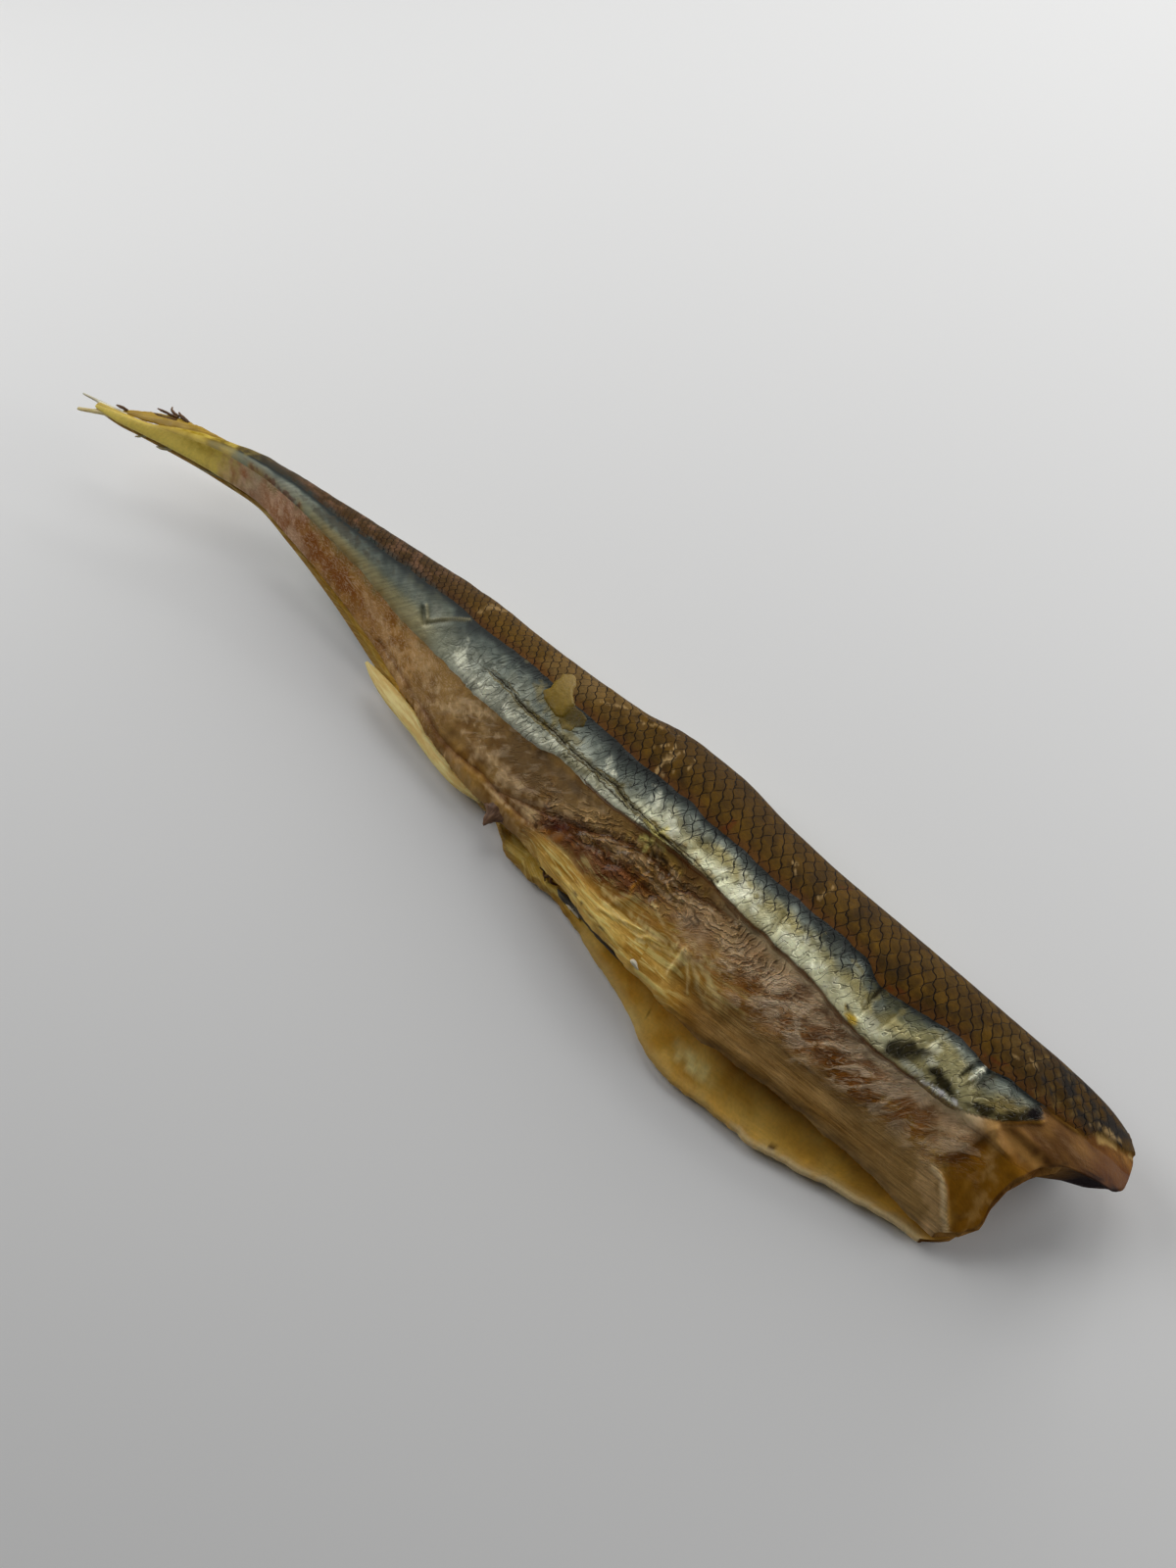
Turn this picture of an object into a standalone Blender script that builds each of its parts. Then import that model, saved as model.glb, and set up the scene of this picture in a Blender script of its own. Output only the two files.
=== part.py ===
"""A small smoked fish, headless and gutted, lying on its left side.

The body is one lofted skin. Each ring of the loft is a hairpin: it runs from the back over the right flank to the
right belly edge, in along the right belly wall to the roof of the belly cavity, out along the left belly wall to the
left belly edge, and under the left flank to the back again. Behind the vent the two walls close on each other, so the
cavity ends there as a shallow groove. Both ends of the loft are zipped shut along the middle of the wall.
The fins grow out of the body, and a Boolean union makes them one solid with it.

x runs from the tail to the nape, y from the belly to the back, and z is up. The design sizes are in millimetres.
"""

import math

import bmesh
import bpy
import numpy as np
from mathutils import Vector

MM = 0.001
NAME = "fish"

# Driving dimensions
TAIL_X = -86.0  # end of the tail stump
NAPE_X = 91.0  # foremost point of the nape
RINGS = 84
END_RINGS = 2  # rings that close each cut end
END_BULGE = 0.5  # how far a cut end stands out from its last ring
OUTER_POINTS = 14  # points from the back to a belly edge
INNER_POINTS = 6  # points from a belly edge to the cavity's roof
CUT_REACH = 41.0  # how far behind the nape the rings begin to lean into the curved cut
LOWEST_GAP = 0.3  # width of the belly groove where the walls close on each other

# The fish seen from above: (x, y) along its edges
BACK_EDGE = (
    (-86, 2.0), (-81, 2.9), (-77, 3.8), (-72, 6.3), (-66, 8.6), (-58, 10.8), (-48, 12.0), (-38, 13.0), (-28, 13.8),
    (-18, 14.2), (-8, 13.7), (2, 13.1), (11, 12.9), (19, 13.7), (28, 13.0), (36, 11.2), (44, 9.8), (60, 8.1),
    (72, 6.7), (80, 5.8), (85, 4.9), (88.5, 3.6), (90.5, 2.0), (91, 1.2),
)
RIGHT_BELLY_EDGE = (
    (-86, 0.9), (-82, 1.1), (-78, 1.8), (-69, 3.3), (-62, 4.3), (-56, 5.0), (-48, 3.8), (-38, 2.1), (-28, -0.3),
    (-18, -3.8), (-8, -7.6), (2, -9.6), (11, -10.9), (28, -15.5), (45, -17.8), (60, -17.3), (80, -18.6),
)
LEFT_BELLY_EDGE = (
    (-86, 0.9), (-82, 1.1), (-78, 1.8), (-69, 3.3), (-62, 4.2), (-56, 4.8), (-48, 3.5), (-38, 1.2), (-28, -1.7),
    (-18, -4.9), (-8, -8.6), (2, -10.8), (18, -13.8), (30, -17.8), (44, -23.1), (58, -22.9), (68, -20.8),
    (80, -19.6),
)
ROOF = ((-86, 1.35), (-74, 3.6), (-60, 5.6), (-30, 1.4), (-12, -4.8), (0, -5.2), (25, -4.2), (60, -5.4), (80, -6.4))
BAND_FOOT = (
    (-86, 1.6), (-72, 5.0), (-60, 7.2), (-40, 5.2), (-20, 1.6), (0, -1.4), (15, -2.2), (40, -4.8), (62, -8.2),
    (91, -6.0),
)

# The fish seen from the side: (x, z) along its length
BACK_HEIGHT = (
    (-86, 12.2), (-68, 11.8), (-56, 10.6), (-40, 8.6), (-20, 6.6), (0, 6.2), (40, 6.6), (84, 6.6), (91, 6.8),
)
TOP_HEIGHT = (
    (-86, 12.7), (-76, 13.2), (-68, 13.6), (-56, 13.4), (-40, 12.6), (-20, 12.2), (0, 12.6), (20, 13.4),
    (45, 13.2), (70, 12.2), (84, 11.0), (91, 9.0),
)
UNDERSIDE = (
    (-86, 11.6), (-76, 10.9), (-68, 9.8), (-56, 7.4), (-42, 4.2), (-28, 1.6), (-15, 0.2), (-8, 0.0), (74, 0.0),
    (84, 1.4), (91, 3.4),
)
RIGHT_EDGE_HEIGHT = (
    (-86, 12.2), (-68, 11.2), (-56, 9.6), (-40, 7.0), (-20, 4.2), (0, 4.2), (15, 5.0), (30, 6.0), (50, 6.2),
    (66, 4.6), (80, 2.2),
)
LEFT_EDGE_HEIGHT = ((-86, 12.0), (-68, 10.8), (-56, 9.0), (-40, 6.0), (-20, 2.4), (0, 1.4), (80, 1.2))

# The section: where the flank's ridge lies, how thick the walls are, how deep the step below the silver band is
RIDGE_SHARE = ((-86, 0.5), (-50, 0.5), (-20, 0.42), (10, 0.36), (91, 0.34))
EDGE_HALF_THICKNESS = ((-86, 0.3), (-68, 0.8), (-40, 0.9), (-10, 0.8), (20, 0.6), (91, 0.5))
RIGHT_WALL = ((-86, 9.0), (-14, 6.0), (4, 2.4), (30, 1.5), (91, 1.5))
LEFT_WALL = ((-86, 9.0), (-14, 6.0), (4, 1.6), (30, 1.2), (91, 1.2))
FLATTENED = 0.15  # how much of the underside's roundness is pressed flat
BAND_STEP = ((-86, 0.0), (-60, 0.3), (-20, 0.5), (30, 1.0), (60, 0.8), (80, 0.0))

# The cut behind the head, from the back (0) to a belly edge (1): how far forward each flank reaches
RIGHT_CUT = (
    (0.0, 88.5), (0.07, 90.8), (0.2, 91.0), (0.31, 90.2), (0.41, 86.4), (0.47, 84.0), (0.56, 82.0), (0.65, 80.8),
    (0.76, 80.4), (0.86, 80.8), (0.94, 79.8), (1.0, 77.6),
)
LEFT_CUT = (
    (0.0, 88.5), (0.07, 89.2), (0.2, 89.2), (0.31, 87.4), (0.41, 83.6), (0.56, 80.4), (0.76, 79.6), (0.86, 79.8),
    (0.94, 79.0), (1.0, 76.8),
)

# The fins: x, y, z along the middle of each, half of its width and half of its thickness
LOWER_TAIL_RAY = (
    (-89.6, -0.3, 11.0, 0.25, 0.2), (-87.5, 0.3, 11.3, 0.35, 0.25), (-85.0, 1.1, 11.8, 0.5, 0.3),
    (-82.0, 1.8, 12.0, 0.6, 0.35),
)
UPPER_TAIL_RAY = (
    (-90.0, 1.6, 12.3, 0.18, 0.15), (-87.5, 1.8, 12.3, 0.25, 0.2), (-85.0, 2.0, 12.3, 0.4, 0.25),
    (-82.0, 2.4, 12.3, 0.5, 0.3),
)
ANAL_FIN = (
    (-25.4, -4.0, 4.2, 0.35, 0.2), (-21.0, -5.0, 4.0, 0.7, 0.35), (-15.0, -6.7, 3.6, 1.0, 0.5),
    (-9.0, -8.6, 3.2, 1.1, 0.6), (-4.0, -9.4, 2.9, 1.0, 0.6), (1.0, -9.6, 2.8, 0.7, 0.5),
)
PELVIC_FIN = (
    (7.4, -10.2, 5.6, 0.3, 0.3), (11.0, -10.4, 5.8, 0.8, 0.5), (16.0, -11.4, 6.1, 1.3, 0.6),
    (22.0, -12.8, 6.6, 1.7, 0.6), (28.0, -14.0, 6.9, 1.7, 0.5), (33.0, -14.6, 6.9, 0.9, 0.35),
)
VENT_TAG = ((4.4, -12.3, 3.6, 0.3, 0.3), (4.3, -11.0, 3.8, 0.8, 0.6), (4.2, -9.6, 4.2, 1.0, 0.8))
FIN_SIDES = 8


def along(x, keys):
    """The smooth value at x of a line through the keys, which never swings past them."""
    at, value = np.array(keys, float).T
    slope = np.diff(value) / np.diff(at)
    turn = np.concatenate([slope[:1], np.zeros(len(at) - 2), slope[-1:]])
    same_way = slope[:-1] * slope[1:] > 0
    low, high = slope[:-1][same_way], slope[1:][same_way]
    turn[1:-1][same_way] = 2 * low * high / (low + high)
    x = np.clip(x, at[0], at[-1])
    span = np.clip(np.searchsorted(at, x, side="right") - 1, 0, len(at) - 2)
    width = at[span + 1] - at[span]
    t = (x - at[span]) / width
    ends = (2 * t**3 - 3 * t**2 + 1) * value[span] + (3 * t**2 - 2 * t**3) * value[span + 1]
    return ends + width * ((t**3 - 2 * t**2 + t) * turn[span] + (t**3 - t**2) * turn[span + 1])


def ease(t):
    """0 below 0, 1 above 1, and a smooth step between."""
    t = np.clip(t, 0, 1)
    return t * t * (3 - 2 * t)


def dome(t):
    """The rise of a rounded back, from 0 at its edge to 1 at its ridge."""
    return np.sqrt(1 - (1 - np.clip(t, 0, 1)) ** 2.2)


def upper_skin(x, y):
    """Height of the right flank, which faces up, over the point x, y."""
    back, edge = along(x, BACK_EDGE), along(x, RIGHT_BELLY_EDGE)
    share = np.clip((back - y) / (back - edge), 0, 1)
    ridge = along(x, RIDGE_SHARE)
    side, top = along(x, BACK_HEIGHT), along(x, TOP_HEIGHT)
    lip = along(x, RIGHT_EDGE_HEIGHT) + along(x, EDGE_HALF_THICKNESS)
    shoulder = side + (top - side) * dome(share / ridge)
    slope = top - (top - lip) * np.clip((share - ridge) / (1 - ridge), 0, 1) ** 1.6
    below_band = ease((along(x, BAND_FOOT) - y) / 1.2) * ease((y - edge) / 3.0)
    return np.where(share < ridge, shoulder, slope) - along(x, BAND_STEP) * below_band


def under_skin(x, y):
    """Height of the left flank, which lies on the table, over the point x, y."""
    back, edge = along(x, BACK_EDGE), along(x, LEFT_BELLY_EDGE)
    share = np.clip((back - y) / (back - edge), 0, 1)
    ridge = along(x, RIDGE_SHARE)
    side, low = along(x, BACK_HEIGHT), along(x, UNDERSIDE)
    lip = along(x, LEFT_EDGE_HEIGHT) - along(x, EDGE_HALF_THICKNESS)
    shoulder = side - (side - low) * dome(share / ridge)
    slope = low + (lip - low) * np.clip((share - ridge) / (1 - ridge), 0, 1) ** 3
    pressed = FLATTENED * ease(share / 0.05)
    return np.maximum(np.where(share < ridge, shoulder, slope) - pressed, 0)


def wall_side(x, y, upper):
    """Height of the cavity's upper or lower wall over the point x, y."""
    top, bottom = upper_skin(x, y), under_skin(x, y)
    room = np.maximum(top - bottom - LOWEST_GAP, 0)
    most = room / 2
    ceiling = top - np.minimum(along(x, RIGHT_WALL), most)
    floor = bottom + np.minimum(along(x, LEFT_WALL), most)
    roof = along(x, ROOF)
    closing = np.sqrt(1 - (1 - np.clip((roof - y) / 4.0, 0, 1)) ** 2)
    middle, half = (ceiling + floor) / 2, (ceiling - floor) / 2 * closing
    return middle + half if upper else middle - half


def ring(s):
    """The points of the ring at station s, as an array of x, y and z rows that starts at the back."""
    lean = ease((s - (NAPE_X - CUT_REACH)) / CUT_REACH)
    share = (np.arange(OUTER_POINTS) / (OUTER_POINTS - 1)) ** 1.6
    inward = np.arange(INNER_POINTS) / (INNER_POINTS - 1)

    def leaned(how_far, cut):
        return s + lean * (along(how_far, cut) - NAPE_X)

    def outer(edge_keys, cut, skin):
        x = leaned(share, cut)
        back, edge = along(x, BACK_EDGE), along(x, edge_keys)
        y = back + (edge - back) * share
        return np.stack([x, y, skin(x, y)], 1)

    def inner(edge_keys, cut, upper):
        roof_share = share[OUTER_POINTS - INNER_POINTS]
        x = leaned(1 + (roof_share - 1) * inward, cut)
        edge, roof = along(x, edge_keys), along(x, ROOF)
        roof = np.maximum(roof, edge + 0.4)
        y = edge + (roof - edge) * inward
        return np.stack([x, y, wall_side(x, y, upper)], 1)

    right = outer(RIGHT_BELLY_EDGE, RIGHT_CUT, upper_skin)
    left = outer(LEFT_BELLY_EDGE, LEFT_CUT, under_skin)
    right_wall = inner(RIGHT_BELLY_EDGE, RIGHT_CUT, True)
    left_wall = inner(LEFT_BELLY_EDGE, LEFT_CUT, False)
    roof = (right_wall[-1] + left_wall[-1]) / 2
    right_wall[-1] = left_wall[-1] = roof
    return np.concatenate([right, right_wall, left_wall[::-1], left[::-1]])


def zipped(loop):
    """The line along the middle of the wall that closes the ring, as one point for each of the ring's points."""
    n, m = OUTER_POINTS, INNER_POINTS
    right, right_wall = loop[:n], loop[n : n + m]
    left_wall, left = loop[n + m : n + 2 * m][::-1], loop[n + 2 * m :][::-1]
    roof = right_wall[-1]
    back = (right[: n - m] + left[: n - m]) / 2
    right_seam = np.concatenate([back, [roof], ((right[n - m :] + right_wall[::-1]) / 2)[1:]])
    left_seam = np.concatenate([back, [roof], ((left[n - m :] + left_wall[::-1]) / 2)[1:]])
    return np.concatenate([right_seam, right_seam[n - m :][::-1], left_seam[n - m :], left_seam[::-1]])


def body_rings():
    """All the rings, tail to nape, with those that close the two ends."""
    rings = [ring(s) for s in np.linspace(TAIL_X, NAPE_X, RINGS)]

    def closing(last, outward):
        seam = zipped(last) + [outward * END_BULGE, 0, 0]
        turns = [0.5 * math.pi * step / END_RINGS for step in range(1, END_RINGS + 1)]
        return [last + (seam - last) * [math.sin(t), 1 - math.cos(t), 1 - math.cos(t)] for t in turns]

    return closing(rings[0], -1)[::-1] + rings + closing(rings[-1], 1)


def fin_rings(line):
    """Elliptical rings along a fin's line, with a point at each end."""
    turn = np.linspace(0, 2 * math.pi, FIN_SIDES + 1)
    line = np.array(line)
    rings = []
    for index, (*middle, half_width, half_thickness) in enumerate(line):
        ahead = line[min(index + 1, len(line) - 1), :3] - line[max(index - 1, 0), :3]
        across = np.cross([0, 0, 1], ahead)
        across /= np.linalg.norm(across)
        sideways = np.outer(np.cos(turn) * half_width, across)
        upward = np.outer(np.sin(turn) * half_thickness, [0, 0, 1])
        rings.append(middle + sideways + upward)
    tip = np.tile(rings[0].mean(0), (len(turn), 1))
    root = np.tile(rings[-1].mean(0), (len(turn), 1))
    return [tip] + rings + [root]


def lofted(name, rings):
    """A closed object whose skin runs over the rings."""
    bm = bmesh.new()
    across, length = len(rings[0]) - 1, len(rings) - 1
    grid = bmesh.ops.create_grid(bm, x_segments=across, y_segments=length, size=0.5)
    for vert in grid["verts"]:
        column, row = round((vert.co.x + 0.5) * across), round((vert.co.y + 0.5) * length)
        vert.co = Vector(rings[row][column]) * MM
    bmesh.ops.remove_doubles(bm, verts=bm.verts, dist=1e-6)
    bmesh.ops.dissolve_degenerate(bm, edges=bm.edges, dist=1e-6)
    bmesh.ops.recalc_face_normals(bm, faces=bm.faces)
    mesh = bpy.data.meshes.new(name)
    bm.to_mesh(mesh)
    bm.free()
    return bpy.data.objects.new(name, mesh)


def skin_material():
    """Smoked skin and flesh: golden brown, with the shine of oil."""
    material = bpy.data.materials.new("skin")
    material.use_nodes = True
    shader = material.node_tree.nodes["Principled BSDF"]
    shader.inputs["Base Color"].default_value = (0.32, 0.19, 0.08, 1)
    shader.inputs["Roughness"].default_value = 0.4
    return material


def grown_on(body, fin):
    """Unites the fin with the body."""
    union = body.modifiers.new(fin.name, "BOOLEAN")
    union.operation = "UNION"
    union.solver = "EXACT"
    union.object = fin


def centred(rings):
    """The shift that brings the middle of the fish to x = y = 0 and its underside to z = 0."""
    points = np.concatenate(rings)
    low, high = points.min(0), points.max(0)
    return np.array([(low[0] + high[0]) / 2, (low[1] + high[1]) / 2, low[2]])


def main():
    for old in list(bpy.data.objects):
        bpy.data.objects.remove(old)
    part = bpy.data.collections.new("smoked_fish")
    helpers = bpy.data.collections.new("helpers")
    for collection in (part, helpers):
        bpy.context.scene.collection.children.link(collection)

    fins = {
        "lower_tail_ray": fin_rings(LOWER_TAIL_RAY),
        "upper_tail_ray": fin_rings(UPPER_TAIL_RAY),
        "anal_fin": fin_rings(ANAL_FIN),
        "pelvic_fin": fin_rings(PELVIC_FIN),
        "vent_tag": fin_rings(VENT_TAG),
    }
    rings = body_rings()
    middle = centred(rings + [points for fin in fins.values() for points in fin])
    body = lofted(NAME, [points - middle for points in rings])
    part.objects.link(body)
    body.data.materials.append(skin_material())
    for name, fin in fins.items():
        grown = lofted(name, [points - middle for points in fin])
        grown.hide_render = True
        grown.display_type = "WIRE"
        helpers.objects.link(grown)
        grown_on(body, grown)


main()
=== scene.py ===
"""A small smoked fish without its head, gutted and dried, on its left side on a pale table."""

import math

import bmesh
import bpy
import numpy as np
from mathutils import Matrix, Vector


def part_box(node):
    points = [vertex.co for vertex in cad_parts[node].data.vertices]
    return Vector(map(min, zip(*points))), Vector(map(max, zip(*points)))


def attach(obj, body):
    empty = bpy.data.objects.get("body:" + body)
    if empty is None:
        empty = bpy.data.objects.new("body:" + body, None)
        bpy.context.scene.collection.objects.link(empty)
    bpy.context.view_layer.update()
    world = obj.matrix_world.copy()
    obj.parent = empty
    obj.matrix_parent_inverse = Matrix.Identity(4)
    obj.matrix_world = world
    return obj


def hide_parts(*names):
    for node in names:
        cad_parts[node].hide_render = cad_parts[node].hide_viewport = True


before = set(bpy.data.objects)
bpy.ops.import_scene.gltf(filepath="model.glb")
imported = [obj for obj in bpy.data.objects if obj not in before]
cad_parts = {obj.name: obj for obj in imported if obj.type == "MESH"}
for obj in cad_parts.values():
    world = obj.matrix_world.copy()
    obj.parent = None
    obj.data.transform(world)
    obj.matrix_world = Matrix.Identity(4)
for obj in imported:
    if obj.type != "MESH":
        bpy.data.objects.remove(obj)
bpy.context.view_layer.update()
fish_low, fish_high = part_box("fish")

# ------------------------------------------------------------------------------------------------------------
# The body: one fillet-thin fish, cut behind the head, opened along the belly and smoked until the skin is
# leathery. Its right side faces up: a scaled brown back, a puffed silver band and a bare, wrinkled belly flap.
# The left side lies on the table, and its flap shows beyond the right one. All lengths are in millimetres.
# ------------------------------------------------------------------------------------------------------------
MM = 0.001
TAIL_X, NAPE_X = -86.0, 91.0
CUT_REACH = 41.0
KEYED_MIDDLE = (0.481, -4.450)
ROOF_SHARE = 0.46
ROWS = 600
HIDE_COLUMNS, BAND_COLUMNS, FLANK_COLUMNS = 36, 30, 36
RIGHT_WALL_COLUMNS, LEFT_WALL_COLUMNS, LEFT_COLUMNS = 6, 14, 22
LIP_COLUMNS = 2
CUT_RINGS = 5

BACK_EDGE = (
    (-86, 2.0), (-81, 2.9), (-77, 3.8), (-72, 6.3), (-66, 8.6), (-58, 10.8), (-48, 12.0), (-38, 13.0), (-28, 13.8),
    (-18, 14.2), (-8, 13.7), (2, 13.1), (11, 12.9), (19, 13.7), (28, 13.0), (36, 11.2), (44, 9.8), (60, 8.1),
    (72, 6.7), (80, 5.8), (85, 4.9), (88.5, 3.6), (90.5, 2.0), (91, 1.2),
)
RIGHT_BELLY_EDGE = (
    (-86, 0.9), (-82, 1.1), (-78, 1.8), (-69, 3.3), (-62, 4.3), (-56, 5.0), (-48, 3.8), (-38, 2.1), (-28, -0.3),
    (-18, -3.8), (-8, -7.6), (2, -9.6), (11, -10.9), (28, -15.5), (45, -17.8), (60, -17.3), (80, -18.6),
)
LEFT_BELLY_EDGE = (
    (-86, 0.9), (-82, 1.1), (-78, 1.8), (-69, 3.3), (-62, 4.2), (-56, 4.8), (-48, 3.5), (-38, 1.2), (-28, -1.7),
    (-18, -4.9), (-8, -8.6), (2, -10.8), (18, -13.8), (30, -17.8), (44, -23.1), (58, -22.9), (68, -20.8),
    (80, -19.6),
)
ROOF = ((-86, 1.35), (-74, 3.6), (-60, 5.6), (-30, 1.4), (-12, -4.8), (0, -5.2), (25, -4.2), (60, -5.4), (80, -6.4))
BACK_HEIGHT = (
    (-86, 12.2), (-68, 11.8), (-56, 10.6), (-40, 8.6), (-20, 6.6), (0, 6.2), (40, 6.6), (84, 6.6), (91, 6.8),
)
TOP_HEIGHT = (
    (-86, 12.7), (-76, 13.2), (-68, 13.6), (-56, 13.4), (-40, 12.6), (-20, 12.2), (0, 12.6), (20, 13.4),
    (45, 13.2), (70, 12.2), (84, 11.0), (91, 9.0),
)
UNDERSIDE = (
    (-86, 11.6), (-76, 10.9), (-68, 9.8), (-56, 7.4), (-42, 4.2), (-28, 1.6), (-15, 0.2), (-8, 0.0), (74, 0.0),
    (84, 1.4), (91, 3.4),
)
RIGHT_EDGE_HEIGHT = (
    (-86, 12.2), (-68, 11.2), (-56, 9.6), (-40, 7.0), (-20, 4.2), (0, 4.2), (15, 5.0), (30, 6.0), (50, 6.2),
    (66, 4.6), (80, 2.2),
)
LEFT_EDGE_HEIGHT = ((-86, 12.0), (-68, 10.8), (-56, 9.0), (-40, 6.0), (-20, 2.4), (0, 1.4), (80, 1.2))
RIDGE_SHARE = ((-86, 0.5), (-50, 0.5), (-20, 0.42), (10, 0.36), (91, 0.34))
EDGE_HALF_THICKNESS = ((-86, 0.3), (-68, 0.8), (-40, 0.9), (-10, 0.8), (20, 0.6), (91, 0.5))
RIGHT_WALL = ((-86, 9.0), (-14, 6.0), (4, 2.4), (30, 1.5), (91, 1.5))
LEFT_WALL = ((-86, 9.0), (-14, 6.0), (4, 1.6), (30, 1.2), (91, 1.2))
LOWEST_GAP = 0.3
FLATTENED = 0.15
RIGHT_CUT = (
    (0.0, 88.5), (0.07, 90.8), (0.2, 91.0), (0.31, 90.2), (0.41, 86.4), (0.47, 84.0), (0.56, 82.0), (0.65, 80.8),
    (0.76, 80.4), (0.86, 80.8), (0.94, 79.8), (1.0, 77.6),
)
LEFT_CUT = (
    (0.0, 88.5), (0.07, 89.2), (0.2, 89.2), (0.31, 87.4), (0.41, 83.6), (0.56, 80.4), (0.76, 79.6), (0.86, 79.8),
    (0.94, 79.0), (1.0, 76.8),
)

# The silver band's two edges and the grid lines that carry them on to the cut
BAND_TOP = (
    (-86, 1.6), (-72, 5.2), (-62, 8.0), (-50, 9.0), (-40, 8.5), (-30, 8.3), (-20, 8.2), (-15, 7.7), (-10, 7.2),
    (-5, 6.9), (0, 6.4), (5, 5.4), (10, 4.9), (15, 4.0), (20, 3.5), (25, 3.3), (30, 2.4), (35, 2.0), (40, 1.3),
    (45, 0.7), (50, 0.4), (54, -0.1), (57.5, -2.0), (60, -1.8), (65, -1.3), (68, -1.2), (71.5, -2.1), (75, -1.6),
    (78, -1.8), (91, -1.2),
)
BAND_FOOT = (
    (-86, 1.2), (-72, 4.2), (-62, 6.4), (-55, 6.9), (-50, 6.6), (-40, 5.4), (-30, 3.8), (-25, 2.6), (-20, 1.8),
    (-15, 0.8), (-10, -0.1), (-5, -0.9), (0, -1.5), (4, -1.8), (8, -1.4), (12, -1.9), (16, -2.7), (20, -3.0),
    (25, -3.1), (30, -3.3), (34, -3.8), (38, -4.7), (42, -5.2), (46, -5.7), (50, -6.2), (54, -7.1), (58, -7.8),
    (63, -8.2), (70, -8.1), (80, -8.6), (91, -8.0),
)
BAND_STEP = ((-86, 0.0), (-60, 0.15), (-20, 0.3), (10, 0.5), (30, 0.9), (50, 0.9), (66, 0.7), (74, 0.2), (80, 0.0))
BAND_END = (
    (60, -9.0), (70, -8.7), (72.3, -7.9), (74, -7.2), (76, -6.3), (77.5, -5.2), (78.6, -4.2), (79.7, -3.2),
    (81, 4.0),
)
FLAP_END = (
    (-19.5, 80.0), (-17.4, 78.3), (-16.6, 77.4), (-15.5, 76.5), (-14.4, 75.4), (-13.6, 73.9), (-11.5, 74.3),
    (-8.5, 75.4), (-6.5, 76.6), (-5, 79.0),
)
FLAP_RIM = ((73.6, -13.8), (75.2, -14.4), (76.3, -15.5), (77.2, -16.6), (78.1, -17.4), (79.4, -18.6))


def along(x, keys):
    """The smooth value at x of a line through the keys, which never swings past them."""
    at, value = np.array(keys, float).T
    slope = np.diff(value) / np.diff(at)
    turn = np.concatenate([slope[:1], np.zeros(len(at) - 2), slope[-1:]])
    same_way = slope[:-1] * slope[1:] > 0
    low, high = slope[:-1][same_way], slope[1:][same_way]
    turn[1:-1][same_way] = 2 * low * high / (low + high)
    x = np.clip(x, at[0], at[-1])
    span = np.clip(np.searchsorted(at, x, side="right") - 1, 0, len(at) - 2)
    width = at[span + 1] - at[span]
    t = (x - at[span]) / width
    ends = (2 * t**3 - 3 * t**2 + 1) * value[span] + (3 * t**2 - 2 * t**3) * value[span + 1]
    return ends + width * ((t**3 - 2 * t**2 + t) * turn[span] + (t**3 - t**2) * turn[span + 1])


def ease(t):
    """0 below 0, 1 above 1, and a smooth step between."""
    t = np.clip(t, 0, 1)
    return t * t * (3 - 2 * t)


def between(t, low, high, rise, fall):
    """1 between low and high. It rises from 0 over the length rise above low, and falls over fall up to high."""
    return ease((t - low) / rise) * ease((high - t) / fall)


def dome(t):
    """The rise of a rounded back, from 0 at its edge to 1 at its ridge."""
    return np.sqrt(1 - (1 - np.clip(t, 0, 1)) ** 2.2)


def rumple(x, y, size, seed, layers=2):
    """Smooth unevenness, about -1 to 1, whose lumps have the given size."""
    lattice = np.random.default_rng(seed).uniform(-1, 1, (64, 64))
    total = 0
    for layer in range(layers):
        u, v = x / size * 2**layer + 17.3 * layer, y / size * 2**layer + 9.1 * layer
        i, j = np.floor(u).astype(int), np.floor(v).astype(int)
        a, b = ease(u - i), ease(v - j)
        corner = lattice[i % 64, j % 64] * (1 - a) + lattice[(i + 1) % 64, j % 64] * a
        far = lattice[i % 64, (j + 1) % 64] * (1 - a) + lattice[(i + 1) % 64, (j + 1) % 64] * a
        total = total + (corner * (1 - b) + far * b) * 0.55**layer
    return total


def gap_to(x, y, points):
    """The distance from each place x, y to the nearest place of a line through the points."""
    nearest = np.full(np.shape(x), 1e9)
    for (x0, y0), (x1, y1) in zip(points[:-1], points[1:]):
        t = np.clip(((x - x0) * (x1 - x0) + (y - y0) * (y1 - y0)) / ((x1 - x0) ** 2 + (y1 - y0) ** 2), 0, 1)
        nearest = np.minimum(nearest, np.hypot(x - x0 - t * (x1 - x0), y - y0 - t * (y1 - y0)))
    return nearest


def near_line(x, y, points, width, warp=0.0):
    """1 on a line through the points, falling to 0 at width from it."""
    return ease(1 - gap_to(x, y + warp * rumple(x, y, 2.0, 5), points) / width)


def beside(x, y, points):
    """How far a point lies above (or, below 0, under) the nearest place of a line that runs from tail to nape."""
    at, height = np.array(points, float).T
    return np.where(y > np.interp(x, at, height), 1, -1) * gap_to(x, y, points)


def patch(x, y, middle, length, width, tilt=0.0, ragged=0.35):
    """A soft-edged patch: 1 in its middle, 0 outside a ragged oval of the given length and width."""
    turn = math.radians(tilt)
    dx, dy = x - middle[0], y - middle[1]
    u = (dx * math.cos(turn) + dy * math.sin(turn)) / (length / 2)
    v = (dy * math.cos(turn) - dx * math.sin(turn)) / (width / 2)
    reach = np.hypot(u, v) + ragged * rumple(x, y, 0.35 + 0.3 * min(length, width), 3, 3)
    return ease((1.25 - reach) / 0.9)


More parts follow.
